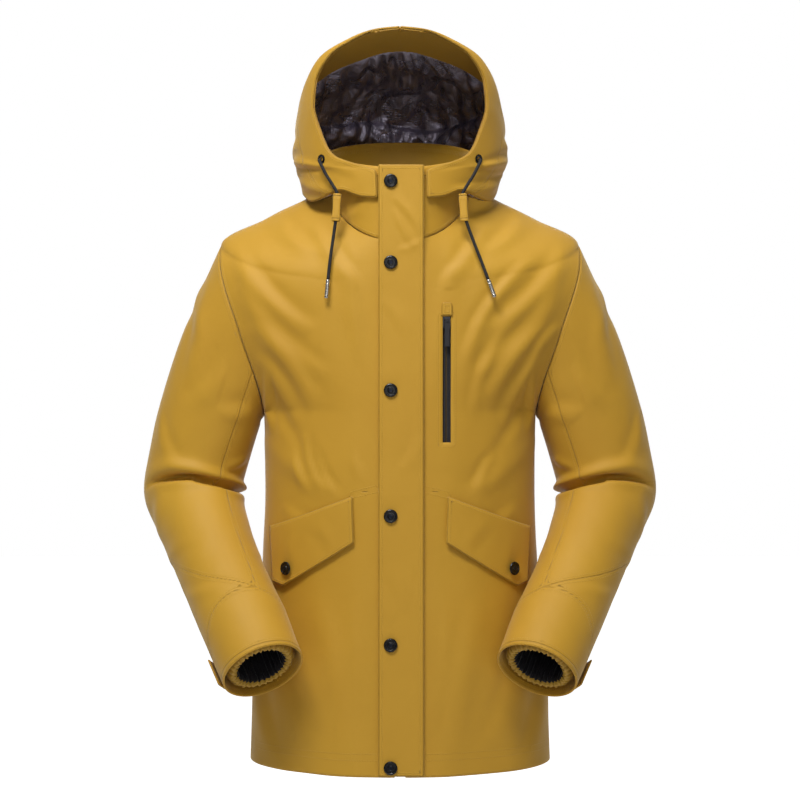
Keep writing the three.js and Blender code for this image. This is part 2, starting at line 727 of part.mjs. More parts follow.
function addStormFlap() {
  const inner = -plyRaise;
  const outer = inner - plyThickness;
  const sheet = block([flapRight, outer, flapBottom], [flapLeft, inner, flapTop]);
  const root = block([flapLeft - flapRootWidth, outer, flapBottom], [flapLeft, 0, flapTop]);
  const holes = snapHeights.map((z) => rod(holeRadius, 20).rotateX(Math.PI / 2).translate(snapX, outer, z));
  part("storm_flap", cut(joined(sheet, root), ...holes), brightCloth, frontLine);
  snapHeights.forEach((z, i) => {
    const stud = snapStud().rotateX(Math.PI / 2).translate(snapX, -studFoot, z);
    part("snap_stud_" + (i + 1), stud, blackPlastic, frontLine);
    const cap = snapCap().rotateX(Math.PI / 2).translate(snapX, -postFoot, z);
    part("snap_cap_" + (i + 1), cap, blackPlastic, frontLine);
  });
  joints.storm_flap_open = {
    at: frontPoint(flapLeft + flapHingeOut, inner, 0),
    axis: frontPoint(0, 0, 1).sub(frontPoint(0, 0, 0)),
  };
}

// The ear in front of the chest slider holds the pin of its pull.
const earTop = -2.5;
const earHalf = 0.8;
const earHeight = 1.2;
const pinDepth = -1.5;
const pinRadius = 0.7;
const pinLength = 5.2;
const pullEye = 3.2; // half height of the pull's eye
const pullHead = 1.8; // the pull's head reaches this far above and around the pin
const pinHole = 1.1;
const pinBelow = 5; // the pin below the top of the slider
const postBite = 0.5; // how far a slider's post runs into its plates
const postHeight = 4;

// The main slider in the frame of its zip, closed at height 0 and reaching down from there: front plate,
// back plate and the post between the rows of teeth.
function mainSlider() {
  const frontFar = teethNear - sliderClearance;
  const backNear = teethFar + sliderClearance;
  const wide = sliderHalfWidth;
  const front = block([-wide, frontFar - sliderPlate, -sliderLength], [wide, frontFar, 0]);
  const back = block([-wide, backNear, -sliderLength], [wide, backNear + sliderPlate, 0]);
  const post = block([-0.6, frontFar - postBite, -postHeight], [0.6, backNear + postBite, 0]);
  return joined(front, back, post);
}

// The pull hangs from the pin: a plate with a fork of two arms at its top.
function forkPull() {
  const half = pullThickness / 2;
  const wide = pullWidth / 2;
  const plate = block([-wide, pinDepth - half, -pullLength], [wide, pinDepth + half, pullHead]);
  const slotHalf = earHalf + gap;
  const slot = block([-slotHalf, pinDepth - 2, -pullEye], [slotHalf, pinDepth + 2, 3]);
  const hole = block([-pullWidth, pinDepth - pinHole, -pinHole], [pullWidth, pinDepth + pinHole, pinHole]);
  const arms = block([-wide, pinDepth - pullHead, -pullHead], [wide, pinDepth + pullHead, pullHead]);
  return cut(joined(plate, arms), slot, hole).translate(0, 0, -pinBelow);
}

function addMainZip() {
  for (const [name, side] of sides) {
    const spans = (inner, outer) => (side < 0 ? [-outer, -inner] : [inner, outer]);
    const [tapeLow, tapeHigh] = spans(tapeInner, tapeOuter);
    const [teethLow, teethHigh] = spans(teethInner, teethOuter);
    const tape = block([tapeLow, tapeNear, zipBottom], [tapeHigh, tapeNear + tapeThickness, zipTop]);
    const teeth = block([teethLow, teethNear, zipBottom], [teethHigh, teethFar, zipTop]);
    part("main_zip_tape_" + name, joined(tape, teeth), blackTape, frontLine);
  }
  const stop = block(
    [-sliderHalfWidth, teethNear - 1, zipBottom - 2 * seam - stopHeight],
    [sliderHalfWidth, teethFar + 1, zipBottom - 2 * seam],
  );
  part("main_zip_stop", stop, blackPlastic, frontLine);
  const top = new THREE.Vector3(0, 0, zipTop - 2);
  part("main_zip_slider", mainSlider(), brightMetal, frontLine, { at: top });
  const pullNear = 0.6;
  const pull = block([-pullWidth / 2, pullNear, -pullLength], [pullWidth / 2, pullNear + pullThickness, -1]);
  part("main_zip_pull", pull, brightMetal, frontLine, { at: top });
  joints.main_zip_slide = {
    at: frontPoint(0, 0, zipTop - 2),
    axis: frontPoint(0, 0, 0).sub(frontPoint(0, 0, 1)),
  };
}

function addChestPocket() {
  const far = chestTapeNear + tapeThickness;
  for (const [name, side] of sides) {
    const spans = (inner, outer) => (side < 0 ? [-outer, -inner] : [inner, outer]);
    const [tapeLow, tapeHigh] = spans(chestTapeInner, chestSlot / 2 + chestTapeLap);
    const [teethLow, teethHigh] = spans(teethInner, chestTeethOuter);
    const tape = block([tapeLow, chestTapeNear, -chestHalf], [tapeHigh, far, chestHalf]);
    const teethFoot = chestTeethNear + teethThickness;
    const teeth = block([teethLow, chestTeethNear, -chestHalf], [teethHigh, teethFoot, chestHalf]);
    part("chest_zip_tape_" + name, joined(tape, teeth), blackTape, chestZip);
  }
  const surface = (u, v) => onBodyAt(1, chestX + garageWidth * u, chestTop + 1 + garageHeight * v);
  const garage = slab(surface, spread(-0.5, 0.5, 2), spread(0, 1, 2), -gap - 1.4, -gap);
  part("chest_zip_garage", garage, brightCloth, jacket);
  part("chest_pocket_bag", pocketBag(1, chestBag, chestBagNear, chestBagFar), darkCloth, jacket);
  const top = new THREE.Vector3(0, 0, chestHalf - 1);
  part("chest_zip_slider", chestSlider(), brightMetal, chestZip, { at: top });
  part("chest_zip_pull", forkPull(), blackPlastic, chestZip, { at: top });
  joints.chest_zip_slide = { at: chestPoint(0, 0, 0), axis: chestPoint(0, 0, 0).sub(chestPoint(0, 0, 1)) };
  joints.chest_pull_swing = {
    at: chestPoint(0, pinDepth, top.z - pinBelow),
    axis: chestPoint(0, 0, 0).sub(chestPoint(1, 0, 0)),
  };
}

// The chest slider lies in front of its teeth only, as on a reversed coil zip.
function chestSlider() {
  const frontFar = chestTeethNear - sliderClearance;
  const low = [-chestSliderHalfWidth, frontFar - sliderPlate - 1, -sliderLength];
  const plate = block(low, [chestSliderHalfWidth, frontFar, 0]);
  const post = block([-0.5, frontFar - postBite, -postHeight], [0.5, frontFar + 1.4, 0]);
  const earLow = [-earHalf, earTop, -pinBelow - earHeight];
  const ear = block(earLow, [earHalf, frontFar - postBite, earHeight - pinBelow]);
  const pin = rod(pinRadius, pinLength, 8).rotateY(Math.PI / 2).translate(0, pinDepth, -pinBelow);
  return joined(plate, post, ear, pin);
}

function addHipPocket(name, side) {
  part("hip_pocket_bag_" + name, pocketBag(side, hipBag, bagNear, bagFar), darkCloth, jacket);
  const lowerEdge = (u) => {
    const share = hipCornerShare;
    if (u < share) return [0, 1].map((k) => lerp(hipInnerBottom[k], hipCorner[k], u / share));
    return [0, 1].map((k) => lerp(hipCorner[k], hipOuterBottom[k], (u - share) / (1 - share)));
  };
  const upperEdge = (u) => [0, 1].map((k) => lerp(hipInnerTop[k], hipOuterTop[k], u));
  const pick = (u, v) => onBodyAt(side, ...[0, 1].map((k) => lerp(lowerEdge(u)[k], upperEdge(u)[k], v)));
  const us = [0, 0.16, 0.32, 0.48, 0.65, hipCornerShare, 0.91, 1];
  const sheet = slab(pick, us, spread(0, 1, 2), -plyRaise - plyThickness, -plyRaise);
  const snap = onBodyAt(side, ...hipSnap);
  const turn = facing(snap.out);
  const lift = (depth) => snap.at.clone().addScaledVector(snap.out, depth);
  const hole = rod(holeRadius, 30).applyQuaternion(turn).translate(...snap.at);
  part("hip_flap_" + name, cut(sheet, hole), cloth, jacket);
  part("hip_flap_stud_" + name, snapStud(), blackPlastic, jacket, { at: lift(studFoot), turn });
  part("hip_flap_cap_" + name, snapCap(), blackPlastic, jacket, { at: lift(postFoot), turn });

  const inner = pick(0, 1).at;
  const outer = pick(1, 1).at;
  const middle = pick(0.5, 1);
  const axis = outer.clone().sub(inner).normalize();
  const square = middle.out.addScaledVector(axis, -middle.out.dot(axis)).normalize();
  joints["hip_flap_" + name] = {
    at: middle.at.clone().addScaledVector(square, plyRaise + plyThickness + hingeClearance),
    axis: axis.multiplyScalar(-side),
  };
}

// A round cord through chosen points, with flat ends.
function cord(points) {
  const path = new THREE.CatmullRomCurve3(points.map((point) => new THREE.Vector3(...point)));
  const outline = new THREE.Shape().absarc(0, 0, cordRadius, 0, 2 * Math.PI);
  return new THREE.ExtrudeGeometry(outline, { steps: 16, curveSegments: 4, extrudePath: path });
}

// The drawcord leaves its eyelet in the hood, hangs over the chin guard and through its keeper, and lies
// on the chest. These points are for the right side.
const cordRoute = [
  [-100, -84, 765],
  [-101, -88, 763],
  [-98, -92.5, 756],
  [-92, -97, 744],
  [-84, -102, 731],
  [-78, -106, 719],
  [-78.8, -107.5, 704],
  [-79.6, -109, 689],
  [-82, -111, 670],
  [-85, -114, 648],
  [-87.5, -117, 628],
  [-89, -119, 612],
];
const keeperFrom = 5; // the keeper hangs between these two points of the route
const keeperTo = 7;

function addCord(name, side) {
  const route = cordRoute.map(([x, y, z]) => [-side * x, y, z]);
  part("drawcord_" + name, cord(route), blackCord, jacket);
  const end = new THREE.Vector3(...route.at(-1));
  const down = end.clone().sub(new THREE.Vector3(...route.at(-2))).normalize();
  const tip = rod(cordTipRadius, cordTipLength, 12).translate(0, 0, cordTipLength / 2 + gap);
  part("cord_tip_" + name, tip, brightMetal, jacket, { at: end, turn: facing(down) });

  const exit = new THREE.Vector3(...route[0]);
  const rim = [
    [eyeletHole, 0], [eyeletRadius, 0], [eyeletRadius, eyeletThickness * 0.5],
    [(eyeletHole + eyeletRadius) / 2, eyeletThickness], [eyeletHole, eyeletThickness * 0.6], [eyeletHole, 0],
  ];
  const points = rim.map(([x, y]) => new THREE.Vector2(x, y));
  const eyelet = new THREE.LatheGeometry(points, 16).rotateX(Math.PI / 2);
  const hood = nearestHood(exit, side);
  part("eyelet_" + name, eyelet, blackPlastic, jacket, {
    at: hood.at.clone().addScaledVector(hood.out, gap),
    turn: facing(hood.out),
  });

  const top = new THREE.Vector3(...route[keeperFrom]);
  const bottom = new THREE.Vector3(...route[keeperTo]);
  const along = bottom.clone().sub(top).normalize();
  const corner = [keeperWidth / 2, keeperDepth / 2, keeperLength];
  const body = block([-corner[0], -corner[1], 0], corner);
  const keeper = cut(body, rod(keeperHole, 4 * keeperLength));
  part("cord_keeper_" + name, keeper, brightCloth, jacket, { at: top, turn: facing(along) });
}

// The place on the hood nearest to a point near its side.
function nearestHood(point, side) {
  let best = null;
  for (const row of spread(0.2, 0.35, 30)) {
    for (const along of spread(0.5, 0.99, 60)) {
      const place = onHood(side * along, row);
      const distance = place.at.distanceTo(point);
      if (!best || distance < best.distance) best = { ...place, distance };
    }
  }
  return best;
}

// The hanger loop is a strap that bows out from the inside of the collar's back.
function addHangerLoop() {
  const z = neckHeight + loopAbove;
  const share = loopAbove / collarHeight;
  const inside = (x) => {
    const s = { half: neckHalfWidth + 2 * share, back: neckBackDepth + 6 * share };
    const angle = Math.PI - Math.asin(Math.pow(x / s.half, roundness / 2));
    return s.back * Math.pow(-Math.cos(angle), 2 / roundness) - collarThickness - gap;
  };
  const end = inside(loopHalfLength) - gap - loopPress;
  const pad = 7; // the ends that are sewn down
  const slope = 4;
  const stand = inside(0) - loopStand;
  const outline = new THREE.Shape([
    new THREE.Vector2(-loopHalfLength, end),
    new THREE.Vector2(-loopHalfLength, end - loopThickness),
    new THREE.Vector2(-loopHalfLength + pad, end - loopThickness),
    new THREE.Vector2(-loopHalfLength + pad + slope, stand - loopThickness),
    new THREE.Vector2(loopHalfLength - pad - slope, stand - loopThickness),
    new THREE.Vector2(loopHalfLength - pad, end - loopThickness),
    new THREE.Vector2(loopHalfLength, end - loopThickness),
    new THREE.Vector2(loopHalfLength, end),
    new THREE.Vector2(loopHalfLength - pad - 1, end),
    new THREE.Vector2(loopHalfLength - pad - slope - 1, stand),
    new THREE.Vector2(-loopHalfLength + pad + slope + 1, stand),
    new THREE.Vector2(-loopHalfLength + pad + 1, end),
  ]);
  const strap = new THREE.ExtrudeGeometry(outline, { depth: loopStrap, bevelEnabled: false });
  part("hanger_loop", strap.translate(0, 0, z), blackTape, jacket);
  return new THREE.Vector3(0, stand - loopThickness, z + loopStrap);
}

addBody();
addCollar();
addHood();
addStormFlap();
addMainZip();
addChestPocket();
for (const [name, side] of sides) {
  addHipPocket(name, side);
  addSleeve(name, side);
  addCord(name, side);
}
const origin = addHangerLoop();
jacket.position.copy(origin).negate();
for (const joint of Object.values(joints)) {
  joint.at.sub(origin);
  joint.axis.normalize();
}

const whole = new THREE.Group();
whole.add(jacket);
whole.userData.joints = joints;
export default whole;
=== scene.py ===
import math

import bpy
import numpy as np
from mathutils import Matrix, Vector
from mathutils.kdtree import KDTree


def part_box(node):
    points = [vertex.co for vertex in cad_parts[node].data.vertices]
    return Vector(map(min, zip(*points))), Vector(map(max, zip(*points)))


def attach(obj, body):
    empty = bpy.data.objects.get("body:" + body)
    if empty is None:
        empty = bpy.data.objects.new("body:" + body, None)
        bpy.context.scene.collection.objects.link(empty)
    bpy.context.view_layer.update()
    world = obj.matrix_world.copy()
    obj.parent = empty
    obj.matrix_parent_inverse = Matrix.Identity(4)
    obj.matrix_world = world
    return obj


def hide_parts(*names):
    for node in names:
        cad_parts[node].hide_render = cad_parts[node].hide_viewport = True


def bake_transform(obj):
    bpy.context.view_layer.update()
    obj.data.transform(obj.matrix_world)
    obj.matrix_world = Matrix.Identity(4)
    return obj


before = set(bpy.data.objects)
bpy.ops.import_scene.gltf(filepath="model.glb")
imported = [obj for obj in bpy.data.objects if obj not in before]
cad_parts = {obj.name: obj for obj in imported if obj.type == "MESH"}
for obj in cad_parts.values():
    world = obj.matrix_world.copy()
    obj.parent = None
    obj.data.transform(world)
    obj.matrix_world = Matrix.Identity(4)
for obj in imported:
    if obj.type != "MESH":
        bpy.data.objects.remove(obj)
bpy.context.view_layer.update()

bpy.ops.object.select_all(action="DESELECT")
mm = 0.001

# Shapes are worked out in millimetres from the hem and the shoulder line, then moved to the frame.
frontDepth = 138.0
frontLean = 0.03
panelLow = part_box("front_panel_right")[0]
hemHeight = panelLow[2]
shoulderLine = panelLow[1] + frontDepth * mm


def toFrame(points):
    return np.asarray(points, float) * mm + np.array([0.0, shoulderLine, hemHeight])


def say(text):
    print("[jacket]", text)


def linked(name, data):
    thing = bpy.data.objects.new(name, data)
    bpy.context.scene.collection.objects.link(thing)
    return thing


def runAlong(line):
    return np.concatenate([[0], np.cumsum(np.linalg.norm(np.diff(line, axis=0), axis=1))])


def spaced(line, step):
    # Points a step apart along the line, and how far along it each is.
    lengths = runAlong(line)
    at = np.arange(0, lengths[-1], step)
    return np.stack([np.interp(at, lengths, line[:, k]) for k in range(3)], axis=1), at


def searchTree(spots):
    tree = KDTree(len(spots))
    for i, spot in enumerate(spots):
        tree.insert(spot, i)
    tree.balance()
    return tree


# Materials, built from noise and thread patterns.


def linear(code):
    values = [int(code[i : i + 2], 16) / 255 for i in (1, 3, 5)]
    return [v / 12.92 if v <= 0.04045 else ((v + 0.055) / 1.055) ** 2.4 for v in values] + [1.0]


def plug(tree, socket, value):
    if isinstance(value, bpy.types.NodeSocket):
        tree.links.new(value, socket)
    else:
        socket.default_value = value


def addNode(tree, kind, inputs=None, out=0, **settings):
    # Adds a node with its settings and links, and gives one of its outputs.
    node = tree.nodes.new("ShaderNode" + kind)
    for key, value in settings.items():
        setattr(node, key, value)
    for key, value in (inputs or {}).items():
        plug(tree, node.inputs[key], value)
    return node.outputs[out]


def newMaterial(name):
    material = bpy.data.materials.new(name)
    material.use_nodes = True
    tree = material.node_tree
    return material, tree, tree.nodes["Principled BSDF"]


def setShader(tree, shader, **values):
    for key, value in values.items():
        plug(tree, shader.inputs[key.replace("_", " ")], value)


def dress(tree, shader, colour, layers, **values):
    # Each layer (height, distance, strength) is pressed into the surface over the one before.
    normal = {}
    for height, distance, strength in layers:
        inputs = {"Height": height, "Distance": distance, "Strength": strength, **normal}
        normal = {"Normal": addNode(tree, "Bump", inputs)}
    setShader(tree, shader, Base_Color=colour, **normal, **values)


def softBand(tree, value, middle, halfWidth):
    # One at the middle, falling smoothly to zero on both sides.
    shifted = addNode(tree, "Math", {0: value, 1: middle}, operation="SUBTRACT")
    away = addNode(tree, "Math", {0: shifted}, operation="ABSOLUTE")
    limits = {1: halfWidth * 0.35, 2: halfWidth, 3: 1.0, 4: 0.0}
    return addNode(tree, "MapRange", {0: away, **limits}, interpolation_type="SMOOTHSTEP")


def crossedThreads(tree, spacings, coordinates, operation=None):
    # Sets of parallel threads, each with its direction and spacing, joined into one height.
    sets = [
        addNode(tree, "TexWave", {"Scale": waveLength / spacing, "Vector": place}, 1,
                wave_type="BANDS", bands_direction=way)
        for (way, spacing), place in zip(spacings, coordinates)
    ]
    return addNode(tree, "Math", dict(enumerate(sets)), operation=operation) if operation else sets


waveLength = 0.314  # a wave texture repeats every 0.314 / scale
shellLook = {
    "thread": 0.0009,  # real threads are about 0.25 mm apart, drawn coarser so that they show close up
    "stitch": 3.2,  # millimetres from one stitch to the next
    "stitchAway": 4.0,  # millimetres from a seam to its topstitching
    "stitchHalf": 0.75,
    "groove": 1.3,  # half width of a pressed seam's groove, and of the painted shade laid into it
}


def clothMaterial(name, light, dark, thread, sheen=0.25, roughness=0.62, creases=0.0011):
    # Woven nylon with a soft matt face: threads, faint creases, pressed seams with painted shade in their
    # grooves, and rows of topstitching.
    material, tree, shader = newMaterial(name)
    place = addNode(tree, "TexCoord", out="Object")
    uv = addNode(tree, "UVMap")
    away = addNode(tree, "Attribute", out="Fac", attribute_name="seamAway")
    run = addNode(tree, "Attribute", out="Fac", attribute_name="seamRun")
    groove = softBand(tree, away, 0.0, shellLook["groove"])
    row = softBand(tree, away, shellLook["stitchAway"], shellLook["stitchHalf"])
    paces = addNode(tree, "Math", {0: run, 1: shellLook["stitch"]}, operation="DIVIDE")
    pace = addNode(tree, "Math", {0: paces}, operation="FRACT")
    stitch = addNode(tree, "Math", {0: row, 1: softBand(tree, pace, 0.5, 0.42)}, operation="MULTIPLY")
    cloudy = addNode(tree, "TexNoise", {"Scale": 5.0, "Detail": 3.0, "Roughness": 0.55, "Vector": place})
    fine = addNode(tree, "TexNoise", {"Scale": 900.0, "Detail": 1.0, "Vector": place})
    # flecks, pale stitches and painted shade along the seam grooves are laid over the cloudy tone in turn
    colour = addNode(tree, "Mix", {0: cloudy, 6: linear(light), 7: linear(dark)}, 2, data_type="RGBA")
    # painted shade: a much darker copy of the cloth colour, tinted into the seam grooves
    grooveShade = [c * 0.35 for c in linear(dark)[:3]] + [1]
    for mask, weight, tint in ((fine, 0.16, linear(dark)), (stitch, 0.35, linear(light)),
                               (groove, 0.3, grooveShade)):
        share = addNode(tree, "Math", {0: mask, 1: weight}, operation="MULTIPLY")
        colour = addNode(tree, "Mix", {0: share, 6: colour, 7: tint}, 2, data_type="RGBA")
    threads = crossedThreads(tree, [("X", thread), ("Y", thread)], [uv, uv], "MULTIPLY")
    crease = addNode(tree, "TexNoise",
                     {"Scale": 34.0, "Detail": 4.0, "Roughness": 0.5, "Distortion": 0.6, "Vector": place})
    raised = addNode(tree, "Math", {0: stitch, 1: 0.5}, operation="MULTIPLY")
    sewn = addNode(tree, "Math", {0: raised, 1: groove}, operation="SUBTRACT")
    dress(tree, shader, colour, [(threads, thread * 0.12, 0.5), (crease, creases, 0.5), (sewn, 0.0008, 0.9)],
          Roughness=addNode(tree, "MapRange", {0: cloudy, 3: roughness - 0.07, 4: roughness + 0.09}),
          Sheen_Weight=sheen, Sheen_Roughness=0.45, Sheen_Tint=linear("#fff0c8"), IOR=1.45)
    return material


def foilMaterial():
    # Polyester ripstop with a vapour-metallised back: dark, crackled highlights and a grid of
    # thicker threads.
    material, tree, shader = newMaterial("metallisedRipstop")
    place = addNode(tree, "TexCoord", out="Object")
    uv = addNode(tree, "UVMap")
    gridSpacing = 0.0034
    lines = crossedThreads(tree, [("X", gridSpacing), ("Y", gridSpacing)], [uv, uv], "MAXIMUM")
    sharp = addNode(tree, "Math", {0: lines, 1: 9.0}, operation="POWER")
    crackle = addNode(tree, "TexNoise",
                      {"Scale": 26.0, "Detail": 3.5, "Roughness": 0.5, "Distortion": 1.2, "Vector": place})
    patch = addNode(tree, "TexVoronoi", {"Scale": 30.0, "Smoothness": 0.45, "Vector": place},
                    feature="SMOOTH_F1")
    tone = addNode(tree, "Mix", {0: crackle, 6: linear("#4a4550"), 7: linear("#b3abbd")}, 2, data_type="RGBA")
    onGrid = addNode(tree, "Math", {0: sharp, 1: 0.5}, operation="MULTIPLY")
    colour = addNode(tree, "Mix", {0: onGrid, 6: tone, 7: linear("#a9a2b2")}, 2, data_type="RGBA")
    dress(tree, shader, colour, [(crackle, 0.007, 0.8), (patch, 0.006, 0.5), (sharp, 0.0004, 0.6)],
          Roughness=addNode(tree, "MapRange", {0: crackle, 3: 0.2, 4: 0.36}), Metallic=0.9)
    return material


def taffetaMaterial():
    # Plain black polyester taffeta: smooth, with a dull slip and fine cross threads.
    material, tree, shader = newMaterial("blackTaffeta")
    place = addNode(tree, "TexCoord", out="Object")
    uv = addNode(tree, "UVMap")
    thread = 0.0011
    ribs = crossedThreads(tree, [("X", thread), ("Y", thread)], [uv, uv], "MULTIPLY")
    slack = addNode(tree, "TexNoise", {"Scale": 26.0, "Detail": 3.0, "Distortion": 1.0, "Vector": place})
    colour = addNode(tree, "Mix", {0: slack, 6: linear("#0e0d0e"), 7: linear("#242126")}, 2, data_type="RGBA")
    dress(tree, shader, colour, [(slack, 0.004, 0.5), (ribs, 0.0001, 0.6)],
          Roughness=addNode(tree, "MapRange", {0: slack, 3: 0.38, 4: 0.55}),
          Sheen_Weight=0.15, Sheen_Roughness=0.4)
    return material


def plasticMaterial(name, dark, light, roughness, grain=0.0006, metallic=0.0):
    # Moulded or lacquered surface with a fine grain that breaks up the gloss.
    material, tree, shader = newMaterial(name)
    place = addNode(tree, "TexCoord", out="Object")
    speckle = addNode(tree, "TexNoise", {"Scale": 1.0 / grain, "Detail": 2.0, "Vector": place})
    smudge = addNode(tree, "TexNoise", {"Scale": 120.0, "Detail": 3.0, "Vector": place})
    colour = addNode(tree, "Mix", {0: smudge, 6: linear(dark), 7: linear(light)}, 2, data_type="RGBA")
    dress(tree, shader, colour, [(speckle, 0.00004, 0.5)], Metallic=metallic,
          Roughness=addNode(tree, "MapRange", {0: smudge, 3: roughness - 0.06, 4: roughness + 0.1}))
    return material


def braidMaterial(name, dark, light, pitch):
    # Braided polyester: strands cross at a slant round the cord, read from its own UV map.
    material, tree, shader = newMaterial(name)
    uv = addNode(tree, "UVMap")
    slants = [addNode(tree, "Mapping", {"Vector": uv, "Rotation": (0, 0, math.radians(turn))})
              for turn in (45, -45)]
    strands = crossedThreads(tree, [("X", pitch), ("X", pitch)], slants, "MAXIMUM")
    colour = addNode(tree, "Mix", {0: strands, 6: linear(dark), 7: linear(light)}, 2, data_type="RGBA")
    dress(tree, shader, colour, [(strands, 0.0005, 0.8)], Roughness=0.7)
    return material


def coilMaterial():
    # Black nylon coil zip: round teeth 1.4 mm apart on a ribbed tape, read along the zip's height.
    material, tree, shader = newMaterial("nylonCoilZip")
    place = addNode(tree, "TexCoord", out="Object")
    teeth, ribs = crossedThreads(tree, [("Z", 0.0014), ("X", 0.0009)], [place, place])
    colour = addNode(tree, "Mix", {0: teeth, 6: linear("#0f0d0f"), 7: linear("#37343a")}, 2, data_type="RGBA")
    dress(tree, shader, colour, [(teeth, 0.0007, 0.9), (ribs, 0.0002, 0.5)], Roughness=0.45)
    return material


shellNylon = clothMaterial("mattShellNylon", "#c89a28", "#b6861c", shellLook["thread"])
facingNylon = clothMaterial("facingNylon", "#b58720", "#9e7418", shellLook["thread"], sheen=0.1)
cuffNylon = clothMaterial("elasticCuffNylon", "#bd942f", "#9c7720", 0.0012, creases=0.0016)
pocketCloth = clothMaterial("pocketPoplin", "#6e5416", "#5c4510", 0.0012, sheen=0.05)
ripstop = foilMaterial()
taffeta = taffetaMaterial()
snapLacquer = plasticMaterial("blackLacqueredBrass", "#040405", "#0b0b0e", 0.24, metallic=0.2)
snapCentre = plasticMaterial("burnishedSnapCentre", "#14171f", "#2a2f3c", 0.3, metallic=0.8)
nylonMoulded = plasticMaterial("blackMouldedNylon", "#141316", "#242226", 0.42)
webbing = braidMaterial("blackGrosgrain", "#121113", "#2a282c", 0.0014)
zipCoil = coilMaterial()
cordBraid = braidMaterial("blackBraidedCord", "#050505", "#1b1a1c", 0.0019)
tipMetal = plasticMaterial("brushedZincTip", "#b5b2ac", "#d8d5cf", 0.24, metallic=1.0)
darkMetal = plasticMaterial("gunmetalSlider", "#3c3b3d", "#57565a", 0.3, metallic=0.9)
say("materials made")


# Surfaces of the jacket, as the pattern has them.

roundness = 2.1
seamHalf = 0.3
seamTurn = (seamHalf / 128) ** (roundness / 2)  # the side seam, as an angle on the body
neckHeight = 741.0
bodyCentre = (0, 0, 350)
collarHeight = 44.0
underarmRow, shoulderRow = 0.55, 0.75

# row, height of the sides, half width, depth of the back, drop of the front, drop of the back
bodyRows = np.array([
    [0, 0, 192, 118, 0, 0],
    [0.15, 130.5, 186.333, 117, 0, 0],
    [0.3, 256.5, 178, 120, 0, 0],
    [0.42, 351, 175, 124, 0, 0],
    [0.55, 450, 176, 125, 0, 0],
    [0.65, 556.5, 203.5, 128, 15, 0],
    [0.75, 663, 232, 128, 55, 20],
    [0.83, 697.32, 177, 118, 67, 16],
    [0.92, 723.06, 125, 100, 75, 9],
    [1, 741, 92, 82, 82, 4],
], float)


def track(rows, column):
    x, y = rows[:, 0], rows[:, column]
    slopes = np.diff(y) / np.diff(x)
    tangents = np.zeros(len(x))
    tangents[0], tangents[-1] = slopes[0], slopes[-1]
    for k in range(1, len(x) - 1):
        before, after = slopes[k - 1], slopes[k]
        tangents[k] = 0 if before * after <= 0 else 2 * before * after / (before + after)

    def at(q):
        q = np.asarray(q, float)
        k = np.clip(np.searchsorted(x, q) - 1, 0, len(x) - 2)
        width = x[k + 1] - x[k]
        t = np.clip((q - x[k]) / width, 0, 1)
        rise = t * t * (3 - 2 * t)
        bend = (1 - t) * tangents[k] - t * tangents[k + 1]
        return y[k] + (y[k + 1] - y[k]) * rise + t * (1 - t) * width * bend

    return at


bodyZ, bodyHalf, bodyBack, bodyFrontDrop, bodyBackDrop = [track(bodyRows, c) for c in range(1, 6)]
foot = 0.15


def ramp(q):
    return (np.hypot(q, foot) - foot) / (math.hypot(1, foot) - foot)


def section(side, angle, z, half, front, back, frontDrop, backDrop):
    sine, cosine = np.sin(angle), np.cos(angle)
    reach = np.abs(cosine) ** (2 / roundness)
    x = side * half * np.sign(sine) * np.abs(sine) ** (2 / roundness)
    y = np.where(cosine > 0, -front * reach, back * reach)
    return np.stack(np.broadcast_arrays(x, y, z - np.where(cosine > 0, frontDrop, backDrop) * ramp(reach)),
                    axis=-1)


def swell(row):
    share = np.clip((np.asarray(row, float) - underarmRow) / (shoulderRow - underarmRow), 0, 1)
    return 1 + 0.2 * np.sin(math.pi * share)


def bodyPoint(side, angle, row):
    z, drop = bodyZ(row), bodyFrontDrop(row)
    front = frontDepth - frontLean * (z - drop)
    return section(side, angle, z, bodyHalf(row) * swell(row), front, bodyBack(row), drop, bodyBackDrop(row))


def edgeAngle(row):
    return np.arcsin((1 / swell(row)) ** (roundness / 2))


def angleAt(x, row):
    return np.arcsin(np.clip(x / (bodyHalf(row) * swell(row)), 0, 1) ** (roundness / 2))


def rowAt(x, z):
    rows = np.linspace(0, 1, 1200)
    return np.interp(z, bodyPoint(1, angleAt(x, rows), rows)[:, 2], rows)


def onBodyAt(side, x, z):
    x, z = np.broadcast_arrays(np.asarray(x, float), np.asarray(z, float))
    rows = np.array([rowAt(abs(a), b) for a, b in zip(x.ravel(), z.ravel())]).reshape(x.shape)
    return bodyPoint(side, angleAt(np.abs(x), rows), rows)


def collarPoint(angle, share):
    frontDrop = 82 + (collarHeight - 91) * share
    z = neckHeight + collarHeight * share
    front = frontDepth - frontLean * (z - frontDrop)
    return section(1, angle, z + 0.8, 92 + 2 * share, front, 82 + 6 * share, frontDrop, 4
                   + (collarHeight - 71) * share)


# row, rim (x, y, height above the neck), half width, depth of the widest place,
# middle of the back (y, height)
hoodRows = np.array([
    [0, 31, -117.6, -27, 127, 0, 97, 6],
    [0.12, 31.5, -116.8, 5, 131, 0, 103, 10],
    [0.2, 60, -107, 17, 134, 0, 108, 13],
    [0.28, 86, -92, 30, 137, 0, 113, 17],
    [0.36, 100, -82, 56, 138, 0, 117, 22],
    [0.5, 111, -72, 94, 135, 0, 120, 56],
    [0.65, 108, -70, 125, 125, -28, 112, 98],
    [0.8, 88, -78, 158, 103, -58, 85, 134],
    [0.92, 50, -86, 180, 62, -76, 20, 162],
    [0.965, 26, -89.5, 188, 33, -84, -32, 180],
    [1, 1.2, -90.5, 190.4, 1.5, -89, -82, 190.4],
], float)
rimX, rimY, rimZ, hoodHalf, hoodMiddle, hoodBack, hoodBackZ = [track(hoodRows, c) for c in range(1, 8)]


